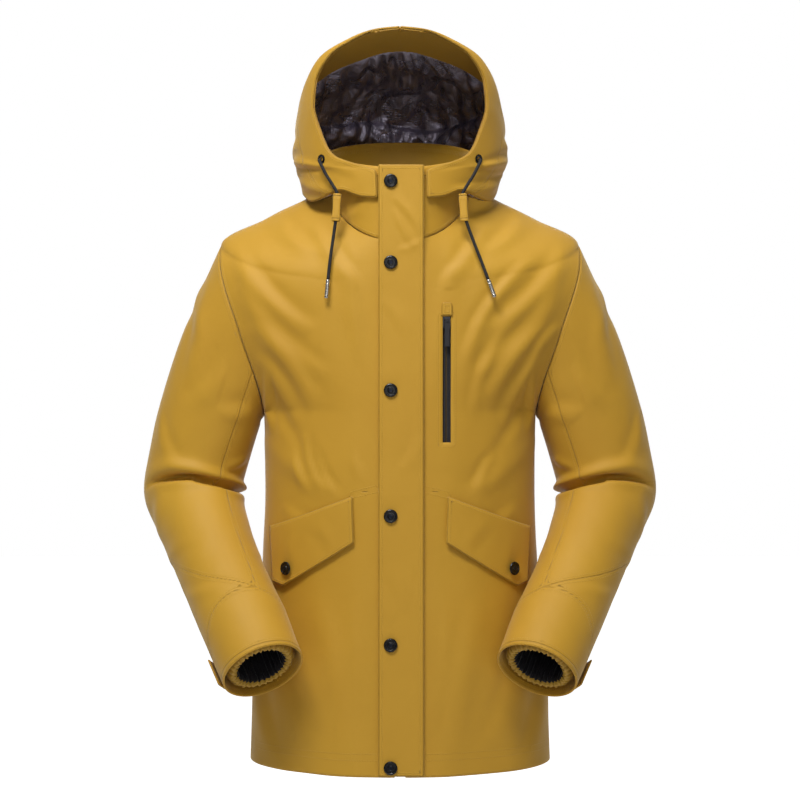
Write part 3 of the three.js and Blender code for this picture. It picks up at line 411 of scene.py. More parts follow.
def hoodPoint(along, row):
    half = np.maximum(hoodHalf(row), rimX(row) * 1.02)
    middle = hoodMiddle(row)
    frontAngle = np.arcsin(np.clip(rimX(row) / half, 0, 1))
    front = (middle - rimY(row)) / np.cos(frontAngle)
    back = hoodBack(row) - middle
    angle = math.pi - (math.pi - frontAngle) * np.abs(along)
    y = middle - np.where(np.cos(angle) > 0, front, back) * np.cos(angle)
    share = (y - rimY(row)) / (hoodBack(row) - rimY(row))
    z = neckHeight + rimZ(row) + (hoodBackZ(row) - rimZ(row)) * share
    return np.stack(np.broadcast_arrays(np.sign(along) * half * np.sin(angle), y, z), axis=-1)


def unit(v):
    v = np.asarray(v, float)
    return v / np.linalg.norm(v)


def turned(v, axis, angle):
    return np.array(Matrix.Rotation(angle, 3, Vector(axis)) @ Vector(v))


sleeve = {"elbowRadius": 61.5, "cuffRadius": 51.0, "swell": 13.0, "dip": 7.0, "frontSeam": math.radians(-30)}
shoulderTip = np.array([-232.0, 0.0, 663.0])
elbow = shoulderTip + np.array([-42.0, 18.0, -320.0])
forearm = np.array([108.0, -182.0, -208.0])
armLength = float(np.linalg.norm(forearm))
shoulderMiddle = np.array([-203.5, 0, 556.5])  # the middle of the armhole
upperWay = unit(elbow - shoulderMiddle)
lowerWay = unit(forearm)
bendAxis = unit(np.cross(upperWay, lowerWay))
bendAngle = math.acos(float(upperWay @ lowerWay))
outsideWay = np.array([-1.0, 0.0, 0.0])
outsideWay = unit(outsideWay - upperWay * (outsideWay @ upperWay))
beforeWay = np.cross(outsideWay, upperWay)
lowerOutside = turned(outsideWay, bendAxis, bendAngle)
lowerBefore = turned(beforeWay, bendAxis, bendAngle)
mitre = unit(upperWay + lowerWay)
insideWay = np.cross(bendAxis, mitre)
cuffMiddle = elbow + forearm


def armhole(turn):
    turn = np.asarray(turn, float)
    row = 0.65 + 0.1 * np.sin(turn)
    angle = np.where(np.cos(turn) >= 0, edgeAngle(row), math.pi - edgeAngle(row))
    return bodyPoint(-1, angle, row) + np.array([-0.6, 0, 0])


def ringOf(centre, radius, before, outside, turn):
    turn = np.asarray(turn, float)[..., None]
    return centre + radius * (before * np.cos(turn) + outside * np.sin(turn))


def ontoMitre(points, along):
    slide = ((elbow - points) @ mitre) / (along @ mitre)
    return points + slide[..., None] * along


def upperSleeve(turn, share):
    start = armhole(turn)
    end = ontoMitre(ringOf(elbow, sleeve["elbowRadius"], beforeWay, outsideWay, turn), upperWay)
    bulge = sleeve["swell"] * np.sin(math.pi * share) * np.maximum(0, np.sin(turn))
    return start + (end - start) * share[..., None] + bulge[..., None] * outsideWay


def lowerSleeve(turn, share):
    start = ontoMitre(ringOf(elbow, sleeve["elbowRadius"], lowerBefore, lowerOutside, turn), lowerWay)
    end = ringOf(cuffMiddle, sleeve["cuffRadius"], lowerBefore, lowerOutside, turn)
    dip = sleeve["dip"] * np.sin(math.pi * np.minimum(1, share / 0.75)) * np.maximum(0, -np.sin(turn))
    return start + (end - start) * share[..., None] + dip[..., None] * lowerOutside


def frontPoint(x, depth, height):
    c, s = math.cos(math.atan(frontLean)), math.sin(math.atan(frontLean))
    x, depth, height = np.broadcast_arrays(*[np.asarray(v, float) for v in (x, depth, height)])
    return np.stack([x, depth * c + height * s - frontDepth, height * c - depth * s], axis=-1)


# Cloth made from those surfaces.

def gridNormals(grid, wrap=False):
    if wrap:
        du = np.roll(grid, -1, axis=1) - np.roll(grid, 1, axis=1)
    else:
        du = np.gradient(grid, axis=1)
    dv = np.gradient(grid, axis=0)
    normals = np.cross(du, dv)
    size = np.linalg.norm(normals, axis=-1, keepdims=True)
    return normals / np.maximum(size, 1e-9)


def outward(grid, centre, wrap=False):
    normals = gridNormals(grid, wrap)
    way = grid - np.asarray(centre, float)
    return normals * (1 if (normals * way).sum() > 0 else -1)


def waves(points, size, seed, count=7):
    draw = np.random.default_rng(seed)
    total = np.zeros(points.shape[:-1])
    for k in range(count):
        way = unit(draw.normal(size=3))
        total += np.sin(points @ way * (2 * math.pi / (size * draw.uniform(0.7, 1.5)))
                        + draw.uniform(0, 2 * math.pi))
    return total / count


# Each fold: from (u, v) to (u, v), how far it bows, half width and height, in millimetres.
def foldHeight(u, v, folds):
    total = np.zeros(np.broadcast(u, v).shape)
    for u0, v0, u1, v1, bow, width, height in folds:
        du, dv = u1 - u0, v1 - v0
        length = math.hypot(du, dv)
        along = ((u - u0) * du + (v - v0) * dv) / length**2
        inside = np.clip(along, 0, 1)
        across = ((v - v0) * du - (u - u0) * dv) / length - bow * 4 * inside * (1 - inside)
        ends = np.sin(math.pi * inside) ** 0.8 * (along > 0) * (along < 1)
        q = across / width
        total += height * ends * (np.exp(-q * q) - 0.6 * np.exp(-(((q + 1.35) / 0.8) ** 2)))
    return total


def meshObject(name, points, faces):
    mesh = bpy.data.meshes.new(name)
    faces = np.asarray(faces, np.int32)
    mesh.vertices.add(len(points))
    mesh.vertices.foreach_set("co", toFrame(points).astype(np.float32).ravel())
    mesh.loops.add(faces.size)
    mesh.loops.foreach_set("vertex_index", faces.ravel())
    mesh.polygons.add(len(faces))
    mesh.polygons.foreach_set("loop_start", np.arange(0, faces.size, faces.shape[1], dtype=np.int32))
    mesh.polygons.foreach_set("use_smooth", np.ones(len(faces), bool))
    mesh.update(calc_edges=True)
    mesh.validate()
    return linked(name, mesh)


def setAttribute(piece, name, values):
    attribute = piece.data.attributes.new(name, "FLOAT", "POINT")
    attribute.data.foreach_set("value", np.asarray(values, np.float32))


def seamFields(points, lines):
    # Distance to the nearest seam, and how far along it that is.
    spots, runs = [], []
    for line in lines:
        along, at = spaced(np.asarray(line, float), 0.8)
        spots.append(along)
        runs.append(at)
    if not spots:
        return np.full(len(points), 60.0), np.zeros(len(points))
    spots, runs = np.concatenate(spots), np.concatenate(runs)
    tree = searchTree(spots)
    found = [tree.find(p) for p in points]
    return np.array([f[2] for f in found]), runs[[f[1] for f in found]]


def clothMesh(name, grid, thickness, centre, wrap=False, keep=None, seams=(), inner=None, smooth=None):
    rows, cols = grid.shape[:2]
    normals = outward(grid, centre, wrap)
    if np.ndim(thickness) == 0:
        thickness = np.full((rows, cols), float(thickness))
    back = grid - normals * thickness[..., None] if inner is None else inner
    cellCols = cols if wrap else cols - 1
    keep = np.ones((rows - 1, cellCols), bool) if keep is None else keep
    r, c = np.nonzero(keep)
    nextC = (c + 1) % cols
    a, b = r * cols + c, r * cols + nextC
    d, e = (r + 1) * cols + c, (r + 1) * cols + nextC
    quads = np.stack([a, b, e, d], axis=1)
    flat = grid.reshape(-1, 3)
    made = np.cross(flat[b] - flat[a], flat[d] - flat[a])
    if (made * normals.reshape(-1, 3)[a]).sum() < 0:
        quads = quads[:, ::-1]
    layer = rows * cols
    edges = np.concatenate([quads[:, [i, (i + 1) % 4]] for i in range(4)])
    owner = np.tile(np.arange(len(quads)), 4)
    low, high = edges.min(axis=1), edges.max(axis=1)
    code = low.astype(np.int64) * layer + high
    order, count = np.unique(code, return_counts=True)
    single = np.isin(code, order[count == 1])
    rim, rimOwner = edges[single], owner[single]
    # The middle of the rim stands out a little, so that the edge is rolled.
    middles = flat[quads].mean(axis=1)
    push = np.zeros((layer, 3))
    for k in range(2):
        way = (flat[rim[:, 0]] + flat[rim[:, 1]]) / 2 - middles[rimOwner]
        way /= np.maximum(np.linalg.norm(way, axis=1, keepdims=True), 1e-9)
        np.add.at(push, rim[:, k], way)
    rimPoints = np.unique(rim)
    size = np.linalg.norm(push[rimPoints], axis=1, keepdims=True)
    away = push[rimPoints] / np.maximum(size, 1e-9)
    half = thickness.reshape(-1)[rimPoints][:, None]
    backFlat = back.reshape(-1, 3)
    roll = (flat[rimPoints] + backFlat[rimPoints]) / 2 + away * half * 0.32
    index = np.full(layer, -1)
    index[rimPoints] = np.arange(len(rimPoints)) + 2 * layer
    p, q = rim[:, 0], rim[:, 1]
    sides = np.concatenate([
        np.stack([q, p, index[p], index[q]], axis=1),
        np.stack([index[q], index[p], p + layer, q + layer], axis=1),
    ])
    points = np.concatenate([flat, backFlat, roll])
    faces = np.concatenate([quads, quads[:, ::-1] + layer, sides])
    used, packed = np.unique(faces, return_inverse=True)
    piece = meshObject(name, points[used], packed.reshape(faces.shape))
    acrossStep = np.linalg.norm(np.diff(grid, axis=1), axis=2)
    downStep = np.linalg.norm(np.diff(grid, axis=0), axis=2)
    u = np.concatenate([np.zeros((rows, 1)), np.cumsum(acrossStep, axis=1)], axis=1)
    v = np.concatenate([np.zeros((1, cols)), np.cumsum(downStep, axis=0)], axis=0)
    u = u - u[:, cols // 2 : cols // 2 + 1]
    uvs = np.stack([u, v], axis=-1).reshape(-1, 2) * mm
    uvs = np.concatenate([uvs, uvs, uvs[rimPoints]])[used]
    layerUv = piece.data.uv_layers.new(name="UVMap")
    loops = np.zeros(len(piece.data.loops), np.int32)
    piece.data.loops.foreach_get("vertex_index", loops)
    layerUv.data.foreach_set("uv", uvs[loops].astype(np.float32).ravel())
    if smooth is not None:  # seams are measured on the shape before its folds
        flatShape = smooth.reshape(-1, 3)
        points = np.concatenate([flatShape, flatShape, flatShape[rimPoints]])
    away, run = seamFields(points[used], seams)
    setAttribute(piece, "seamAway", away)
    setAttribute(piece, "seamRun", run)
    return piece


def finish(piece, material, body=None, replaces=()):
    piece.data.materials.clear()
    piece.data.materials.append(material)
    if body:
        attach(piece, body)
    if replaces:
        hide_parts(*replaces)
    return piece


def linedInside(piece, isLined, material):
    # Faces whose corners all pass the test take the lining's material.
    piece.data.materials.append(material)
    for polygon in piece.data.polygons:
        if all(isLined(v) for v in polygon.vertices):
            polygon.material_index = 1


# Camera, floor and lights.

cameraView = {"away": 2.4, "height": 463.0, "lens": 83.0}
cameraData = bpy.data.cameras.new("camera")
cameraData.lens = cameraView["lens"]
cameraData.sensor_width = 36.0
cameraData.clip_end = 50
camera = linked("camera", cameraData)
camera.location = (0, shoulderLine - cameraView["away"], hemHeight + cameraView["height"] * mm)
camera.rotation_euler = (math.radians(90), 0, 0)
bpy.context.scene.camera = camera


def addLight(name, place, target, size, power):
    data = bpy.data.lights.new(name, "AREA")
    data.shape = "RECTANGLE"
    data.size, data.size_y = size
    data.energy = power
    light = linked(name, data)
    light.location = place
    light.rotation_euler = (Vector(target) - Vector(place)).to_track_quat("-Z", "Y").to_euler()


lights = {
    "keyLight": ((-0.4, -1.45, 1.5), (0, -0.1, -0.15), (1.0, 0.6), 46),
    "topLight": ((0.1, -0.3, 1.7), (0, 0, 0), (1.5, 0.9), 10),
    "frontFill": ((0.4, -3.0, 0.2), (0, 0, -0.4), (1.2, 1.2), 9),
    "backLight": ((0.0, 2.4, 1.2), (0, 0, -0.3), (1.6, 1.2), 16),
}
for name, (place, target, size, power) in lights.items():
    addLight(name, place, target, size, power)

# The studio is white behind the jacket and dim in front of it, so the lamps shape the cloth.
studio = {"front": 0.17, "behind": 1.0}
world = bpy.data.worlds.new("studio")
world.use_nodes = True
sky = world.node_tree
direction = addNode(sky, "TexCoord", out="Generated")
ahead = addNode(sky, "SeparateXYZ", {0: direction}, 1)
wall = addNode(sky, "MapRange", {0: ahead, 1: 0.72, 2: 0.92, 3: studio["front"], 4: studio["behind"]},
               interpolation_type="SMOOTHSTEP")
setShader(sky, sky.nodes["Background"], Color=linear("#ffffff"), Strength=wall)
bpy.context.scene.world = world
bpy.context.scene.view_settings.view_transform = "Standard"

floorDrop = 0.6
bpy.ops.mesh.primitive_plane_add(size=14, location=(0, 3.0, hemHeight - floorDrop))
floor = bpy.context.object
floor.name = "floor"
bpy.ops.object.transform_apply(location=True, rotation=True, scale=True)
floorPaint, floorTree, floorShader = newMaterial("palePaintedFloor")
floorPlace = addNode(floorTree, "TexCoord", out="Object")
floorBack = addNode(floorTree, "SeparateXYZ", {0: floorPlace}, 1)
# the far floor runs into the white wall
floorGlow = addNode(floorTree, "MapRange", {0: floorBack, 1: 0.8, 2: 2.6, 3: 0.0, 4: 0.9},
                    interpolation_type="SMOOTHSTEP")
setShader(floorTree, floorShader, Base_Color=linear("#f4f3f1"), Roughness=0.8,
          Emission_Color=linear("#ffffff"), Emission_Strength=floorGlow)
floor.data.materials.append(floorPaint)
bpy.ops.object.select_all(action="DESELECT")
say("camera, lights and floor made")

# Drawcords.

cordLook = {"diameter": 0.004, "leftSwing": 20.0}
cordRoute = [
    [-100, -84, 765], [-101, -88, 763], [-98, -92.5, 756], [-92, -97,
                                                            744], [-84, -102, 731], [-78, -106, 719],
    [-78.8, -107.5, 704], [-79.6, -109, 689], [-82, -111, 670], [-85, -114,
                                                                 648], [-87.5, -117, 628], [-89, -119, 612],
]


def smoothLine(points, steps=6):
    points = np.asarray(points, float)
    ends = np.concatenate([[2 * points[0] - points[1]], points, [2 * points[-1] - points[-2]]])
    line = []
    for k in range(1, len(ends) - 2):
        a, b, c, d = ends[k - 1 : k + 3]
        for t in np.arange(steps) / steps:
            square, cube = (2 * a - 5 * b + 4 * c - d) * t**2, (3 * b - a - 3 * c + d) * t**3
            line.append(0.5 * (2 * b + (c - a) * t + square + cube))
    return np.array(line + [ends[-2]])


def tubeMesh(name, line, radius, sides=16):
    # A tube along a line, with rounded ends, and a UV map that runs round and along it.
    line = np.asarray(line, float)
    radius = np.broadcast_to(np.asarray(radius, float), len(line))
    ways = np.gradient(line, axis=0)
    ways /= np.linalg.norm(ways, axis=1, keepdims=True)
    across = np.cross(ways[0], [0.3, 0.2, 0.9])
    rings = []
    for point, way, size in zip(line, ways, radius):
        across = unit(across - way * (across @ way))
        other = np.cross(way, across)
        turns = np.arange(sides) * (2 * math.pi / sides)
        rings.append(point + size * (np.cos(turns)[:, None] * across + np.sin(turns)[:, None] * other))
    rings = np.array(rings)
    points = np.concatenate([rings.reshape(-1, 3), line[:1] - ways[:1] * radius[0] * 0.3, line[-1:]
                             + ways[-1:] * radius[-1] * 0.3])
    faces, count = [], len(line)
    for r in range(count - 1):
        for c in range(sides):
            n = (c + 1) % sides
            faces.append((r * sides + c, r * sides + n, (r + 1) * sides + n, (r + 1) * sides + c))
    first, last = count * sides, count * sides + 1
    faces += [(first, (c + 1) % sides, c) for c in range(sides)]
    faces += [(last, (count - 1) * sides + c, (count - 1) * sides + (c + 1) % sides) for c in range(sides)]
    mesh = bpy.data.meshes.new(name)
    mesh.from_pydata([tuple(p) for p in toFrame(points)], [], faces)
    mesh.polygons.foreach_set("use_smooth", np.ones(len(faces), bool))
    run = runAlong(line)
    uv = mesh.uv_layers.new(name="UVMap")
    for polygon in mesh.polygons:
        column = max((mesh.loops[i].vertex_index % sides for i in polygon.loop_indices), default=0)
        for i in polygon.loop_indices:
            v = mesh.loops[i].vertex_index
            ring = min(v // sides, count - 1)
            turn = v % sides
            if turn == 0 and column == sides - 1:
                turn = sides
            uv.data[i].uv = (turn / sides * 2 * math.pi * 2 * mm, run[ring] * mm)
    return linked(name, mesh)


def turnedPiece(name, profile, around=48, bevel=0.12):
    # Built by hand from a disc: each (radius, height) of the profile is an extrusion and a resize.
    radius, height = profile[0]
    bpy.ops.mesh.primitive_circle_add(vertices=around, radius=radius * mm, fill_type="NGON",
                                      location=(0, 0, height * mm))
    piece = bpy.context.object
    piece.name = name
    bpy.ops.object.transform_apply(location=True, rotation=True, scale=True)
    bpy.ops.object.mode_set(mode="EDIT")
    bpy.ops.mesh.select_all(action="SELECT")
    for nextRadius, nextHeight in profile[1:]:
        bpy.ops.mesh.extrude_region_move(TRANSFORM_OT_translate={"value": (0, 0, (nextHeight - height) * mm)})
        scale = nextRadius / radius
        bpy.ops.transform.resize(value=(scale, scale, 1))
        radius, height = nextRadius, nextHeight
    bpy.ops.mesh.select_all(action="SELECT")
    bpy.ops.mesh.normals_make_consistent(inside=False)
    bpy.ops.object.mode_set(mode="OBJECT")
    soften = piece.modifiers.new("bevel", "BEVEL")
    soften.width, soften.segments, soften.limit_method = bevel * mm, 2, "ANGLE"
    bpy.ops.object.modifier_apply(modifier="bevel")
    bpy.ops.object.shade_smooth_by_angle(angle=math.radians(35))
    bpy.ops.object.select_all(action="DESELECT")
    return piece


def placed(piece, centre, axis):
    # Moves the mesh itself, so that the object stays at the origin.
    turn = Vector((0, 0, 1)).rotation_difference(Vector(axis)).to_matrix().to_4x4()
    piece.data.transform(Matrix.Translation(Vector(centre)) @ turn)
    piece.data.update()
    return piece


def copied(piece, name):
    return linked(name, piece.data.copy())


def mirrored(points, side):
    # The right side is x below zero; side is -1 for it and 1 for the left.
    return np.asarray(points, float) * np.array([-side, 1, 1])


sides = {"right": -1, "left": 1}
for label, side in sides.items():
    route = mirrored(cordRoute, side)
    if side > 0:  # the left cord hangs a little outwards
        route[:, 0] += cordLook["leftSwing"] * np.clip((700 - route[:, 2]) / 88, 0, 1) ** 1.2
    line = smoothLine(route)
    cord = tubeMesh("drawcord" + label.capitalize(), line, 2.0)
    finish(cord, cordBraid, "root", ["drawcord_" + label])
    down = unit(line[-1] - line[-2])
    tipProfile = [(1.9, 0.2), (2.3, 0.5), (2.6, 1.2), (2.6, 4.0), (2.35, 4.4), (2.35, 5.3), (2.6, 5.7),
                  (2.6, 18.6), (2.35, 19.0), (2.35, 19.9), (2.6, 20.3), (2.6, 22.6), (2.2, 23.3),
                  (1.7, 23.3), (1.5, 21.5)]
    tip = placed(turnedPiece("cordTip" + label.capitalize(), tipProfile), toFrame(line[-1]), down)
    finish(tip, tipMetal, "root", ["cord_tip_" + label])
    length = float(np.linalg.norm(np.diff(line, axis=0), axis=1).sum()) * mm
    say(f"{cord.name}: {length:.4f} m")

# Shell panels.

chestZip = {"x": 58.0, "bottom": 410.0, "top": 567.0, "slot": 11.0}
hipFlap = {
    "innerTop": (58.7, 344.0), "innerBottom": (56.5, 287.0), "corner": (144.0, 230.0),
    "outerBottom": (158.0, 234.0), "outerTop": (163.0, 303.0), "snap": (141.0, 252.0), "cornerShare": 0.82,
}
frontFolds = [
    # chest folds run from the shoulder towards the chest
    (214, 655, 112, 545, 12, 13, 6.5), (206, 610, 96, 490, 10, 12, 5.5), (192, 560, 104, 452, -8, 11, 5.0),
    (180, 520, 130, 430, -6, 9, 4.5), (172, 470, 110, 372, 8, 10, 4.0), (174, 420, 84, 342, 6, 12, 4.0),
    (168, 500, 162, 418, 2, 5, 5.0), (112, 690, 50, 600, 6, 10, 3.6), (64, 650, 40, 500, 6, 12, 2.6),
    (172, 215, 120, 30, 10, 15, 3.6), (104, 220, 66, 12, -6, 17, 3.2), (188, 130, 160, 6, 4, 10, 4.0),
    (62, 215, 38, 50, 5, 13, 2.2), (160, 695, 104, 640, 4, 11, 3.4), (150, 330, 90, 300, 5, 8, 2.0),
]
frontFoldsOne = {
    -1: [(120, 424, 94, 350, 6, 5, 4.4), (110, 408, 78, 342, 4, 4.5, 3.2), (134, 400, 112, 345, 3, 5, 3.0),
         (60, 400, 40, 360, 3, 8, 1.6)],
    1: [(122, 398, 96, 348, -4, 6, 3.0), (168, 640, 78, 500, -14, 8, 4.6), (140, 560, 92, 440, -10, 8, 3.4),
        (204, 560, 150, 480, -6, 7, 3.6)],
}


def columnsOf(spans):
    # Each span is (from, to, steps); shared ends are kept once.
    values = [np.linspace(a, b, n + 1)[(0 if i == 0 else 1):] for i, (a, b, n) in enumerate(spans)]
    return np.concatenate(values)


def frontGrid(side, edge=7.0):
    slotLow, slotHigh = chestZip["x"] - chestZip["slot"] / 2, chestZip["x"] + chestZip["slot"] / 2
    slotRows = [float(rowAt(chestZip["x"], chestZip[k])) for k in ("bottom", "top")]
    rows = columnsOf([(0, 0.008, 2), (0.008, slotRows[0], 84), (slotRows[0], slotRows[1], 42),
                      (slotRows[1], 1, 74)])
    spans = columnsOf([(0, 1, 12), (1, 2, 6), (2, 3, 46)])
    grid = np.zeros((len(rows), len(spans), 3))
    for i, row in enumerate(rows):
        stops = [angleAt(edge, row), angleAt(slotLow, row), angleAt(slotHigh, row),
                 edgeAngle(row) - seamTurn]
        grid[i] = bodyPoint(side, np.interp(spans, [0, 1, 2, 3], stops), np.full(len(spans), row))
    inSlot = (rows[:-1, None] >= slotRows[0] - 1e-9) & (rows[1:, None] <= slotRows[1] + 1e-9)
    inSlot = inSlot & (spans[None, :-1] >= 1 - 1e-9) & (spans[None, 1:] <= 2 + 1e-9)
    return grid, rows, spans, inSlot


def bodyRelief(grid, side, front):
    normals = outward(grid, bodyCentre)
    x, z = np.abs(grid[..., 0]), grid[..., 2]
    height = 2.4 * waves(grid, 190, 11 if side < 0 else 12) + 1.3 * waves(grid * [1, 1, 0.5], 60, 13)
    height += 2.6 * np.sin(x / 24 + 0.6 * side) * np.clip(1 - z / 260, 0,
                                                          1) ** 1.6 * np.clip((x - 30) / 60, 0, 1)
    if front:
        height += 0.72 * foldHeight(x, z, frontFolds + frontFoldsOne[side])
        calm = np.clip((x - 30) / 26, 0, 1)
        nearZip = np.exp(-(((x - 58) / 16) ** 2)) * (z > 380) * (z < 600) * (side > 0)
        height *= calm * (1 - 0.85 * nearZip)
    return grid + normals * height[..., None]


def armholeLine(side, fromTurn, toTurn):
    return mirrored(armhole(np.radians(np.linspace(fromTurn, toTurn, 60))), side)


def bodyLine(side, points):
    points = np.asarray(points, float)
    run = np.concatenate([[0], np.cumsum(np.hypot(*np.diff(points, axis=0).T))])
    at = np.linspace(0, run[-1], max(6, int(run[-1] / 5)))
    return onBodyAt(side, np.interp(at, run, points[:, 0]), np.interp(at, run, points[:, 1]))


hemStitch = 24.0
for label, side in sides.items():
    grid, rows, spans, inSlot = frontGrid(side)
    seams = [armholeLine(side, -90, 90), grid[:, -1], bodyLine(side, [(26, 354), (58.7, 346)]),
             bodyLine(side, [(8, hemStitch), (188, hemStitch)]), grid[:, 0] + [side * 1.0, 0, 0]]
    if side > 0:
        slotX = chestZip["slot"] / 2 + 1.5
        corners = [(-slotX, 408.5), (slotX, 408.5), (slotX, 568.5), (-slotX, 568.5), (-slotX, 408.5)]
        seams.append(bodyLine(1, [(chestZip["x"] + dx, z) for dx, z in corners]))
    relief = bodyRelief(grid, side, True)
    relief[:, -1] = grid[:, -1]
    panel = clothMesh("frontPanel" + label.capitalize(), relief, 2.0, bodyCentre,
                      keep=~inSlot if side > 0 else None, seams=seams, smooth=grid)
    finish(panel, shellNylon, "root", ["front_panel_" + label])

backStep = 92
backRowList = columnsOf([(0, 0.008, 2), (0.008, 1, 190)])
backGrid = np.array([
    bodyPoint(1, math.pi + (edgeAngle(row) - seamTurn) * np.linspace(-1, 1, backStep + 1),
              np.full(backStep + 1, row)) for row in backRowList
])
backFolds = [(-190, 600, -60, 470, 10, 14, 5.0), (190, 600, 60, 470, -10, 14, 5.0),
             (-170, 500, -80, 400, 6, 11, 4.4),
             (170, 500, 80, 400, -6, 11, 4.4), (-90, 380, 70, 350, 10, 13,
                                                3.6), (-120, 310, 30, 285, -8, 12, 3.0),
             (30, 330, 140, 300, 8, 12, 1.8), (-60, 640, -10, 540, 5, 14,
                                               1.6), (60, 640, 14, 530, -5, 14, 1.6),
             (-110, 190, -80, 20, 4, 16, 2.2), (110, 200, 76, 20, -4, 16, 2.2), (0, 180, 8, 20, 2, 18, 1.6)]
backRelief = bodyRelief(backGrid, 1, False)
backRelief += outward(backGrid, bodyCentre) * foldHeight(backGrid[..., 0], backGrid[..., 2],
                                                         backFolds)[..., None]
backRelief[:, 0], backRelief[:, -1] = backGrid[:, 0], backGrid[:, -1]
yokeRow = int(np.argmin(np.abs(backRowList - 0.69)))
hemRow = int(np.argmin(np.abs(bodyZ(backRowList) - hemStitch)))
backSeams = [backGrid[yokeRow], backGrid[hemRow], backGrid[:, 0], backGrid[:, -1],
             armholeLine(-1, 90, 270), armholeLine(1, 90, 270)]
backPanel = clothMesh("backPanel", backRelief, 2.0, bodyCentre, seams=backSeams, smooth=backGrid)
finish(backPanel, shellNylon, "root", ["back_panel"])
say("shell panels made")

# Lining and pocket bags, inside the shell.

def insetGrid(grid, depth, centre=bodyCentre):
    return grid - outward(grid, centre) * np.asarray(depth, float)[..., None]


for label, side in sides.items():
    grid, rows, spans, inSlot = frontGrid(side, edge=14.0)
    grid = grid[::2, ::2]
    puff = 9.4 - 1.2 * np.abs(np.sin(grid[..., 2] * math.pi / 95)) + 0.7 * waves(grid, 45, 21)
    liner = clothMesh("liningFront" + label.capitalize(), insetGrid(grid, np.maximum(puff, 8.6)), 1.2,
                      bodyCentre)
    finish(liner, taffeta, "root", ["lining_front_" + label])
grid = backGrid[::2, ::2]
puff = 9.4 - 1.2 * np.abs(np.sin(grid[..., 2] * math.pi / 95)) + 0.7 * waves(grid, 45, 22)
liner = clothMesh("liningBack", insetGrid(grid, np.maximum(puff, 8.6)), 1.2, bodyCentre)
finish(liner, taffeta, "root", ["lining_back"])


def bagMesh(name, side, low, high, bottom, top, near, far):
    u, v = np.meshgrid(np.linspace(low, high, 24), np.linspace(bottom, top, 40))
    grid = onBodyAt(side, u, v)
    edge = np.minimum(np.minimum(u - low, high - u), np.minimum(v - bottom, top - v))
    full = np.clip(edge / 16, 0, 1) ** 0.5
    middle = (near + far) / 2
    depth = (far - near) / 2 * (0.35 + 0.65 * full) * (1 + 0.06 * waves(grid, 30, 31))
    front = insetGrid(grid, np.maximum(middle - depth, near))
    return clothMesh(name, front, np.minimum(depth * 2, far - near), bodyCentre)


for label, side in sides.items():
    bag = bagMesh("hipPocketBag" + label.capitalize(), side, 62, 140, 120, 330, 5.1, 7.7)
    finish(bag, pocketCloth, "root", ["hip_pocket_bag_" + label])
bag = bagMesh("chestPocketBag", 1, 36, 112, 372, 585, 7.75, 8.45)
finish(bag, pocketCloth, "root", ["chest_pocket_bag"])
say("lining and pocket bags made")

# Collar.

collarStart = math.asin((7.0 / 92) ** (roundness / 2))
angles = np.linspace(collarStart, 2 * math.pi - collarStart, 190)
shares = np.linspace(0, 1, 24)
angleGrid, shareGrid = np.meshgrid(angles, shares)
collarGrid = collarPoint(angleGrid, shareGrid)
collarOut = outward(collarGrid, (0, 0, 760))
frontward = np.clip(np.cos(angleGrid), 0, 1)
collarHeightMap = 0.8 * waves(collarGrid, 55, 41) * frontward + foldHeight(
    collarGrid[..., 0], collarGrid[..., 2],
    [(-30, 735, -66, 690, 5, 7, 1.8), (34, 730, 62, 684, -5, 7, 1.8), (-44, 700, -80, 690, 3, 5, 1.2),
     (40, 705, 74, 700, 3, 5, 1.2)],
) * (np.cos(angleGrid) > 0)
collarGrid = collarGrid + collarOut * (np.minimum(collarHeightMap,
                                                  2.0) * np.sin(math.pi * shareGrid))[..., None]
chinBand = 20
collar = clothMesh("collarShell", collarGrid, 3.6, (0, 0, 760),
                   seams=[collarGrid[0], collarGrid[chinBand], collarGrid[:, 0], collarGrid[:, -1]])
finish(collar, shellNylon, "root", ["collar"])

# Hood.

hoodCentre = (0, 0, 820)
alongs = np.linspace(-0.9995, 0.9995, 260)
hoodRowList = columnsOf([(0.001, 0.12, 12), (0.12, 0.36, 34), (0.36, 0.92, 86), (0.92, 0.9995, 20)])
alongGrid, hoodRowGrid = np.meshgrid(alongs, hoodRowList)
hoodGrid = hoodPoint(alongGrid, hoodRowGrid)
besideChin, overShoulder = np.abs(alongGrid) - 0.87, np.abs(alongGrid) - 0.7
hemWave = 8 * np.exp(-((besideChin / 0.05) ** 2)) - 8 * np.exp(-((overShoulder / 0.08) ** 2))
frontEdge = np.clip((np.abs(alongGrid) - 0.8) / 0.2, 0, 1) * np.clip(1 - hoodRowGrid / 0.25, 0, 1)
hoodGrid[..., 0] += np.where(alongGrid > 0, 3.6, 2.6) * frontEdge  # clear of the storm flap as it swings
hoodGrid[..., 2] += hemWave * np.clip(1 - hoodRowGrid / 0.2, 0, 1)
hoodOut = outward(hoodGrid, hoodCentre)
rimRight, rimLeft = hoodGrid[:, 0], hoodGrid[:, -1]
rimLine = np.concatenate([rimRight, rimLeft[::-1]])
rimAway = seamFields(hoodGrid.reshape(-1, 3), [rimLine])[0].reshape(hoodGrid.shape[:2])
brimDepth = 47.0
hoodFolds = [
    # along times 300 against height: slack above the collar, folds at the sides of the neck
    (-285, 745, -180, 775, 6, 8, 3.4), (-275, 722, -170, 752, -6, 7, 3.0), (-250, 790, -150, 765, 8, 9, 2.8),
    (285, 745, 180, 775, -6, 8, 3.4), (275, 722, 170, 752, 6, 7, 3.0), (250, 790, 150, 765, -8, 9, 2.8),
    (-235, 830, -140, 800, -8, 10, 2.2), (235, 835, 150, 800, 8, 10, 2.2), (-90, 770, 90, 775, 10, 10, 3.0),
    (-120, 800, 60, 790, -8, 12, 2.4), (-40, 850, 130, 820, 12, 14, 2.0),
]
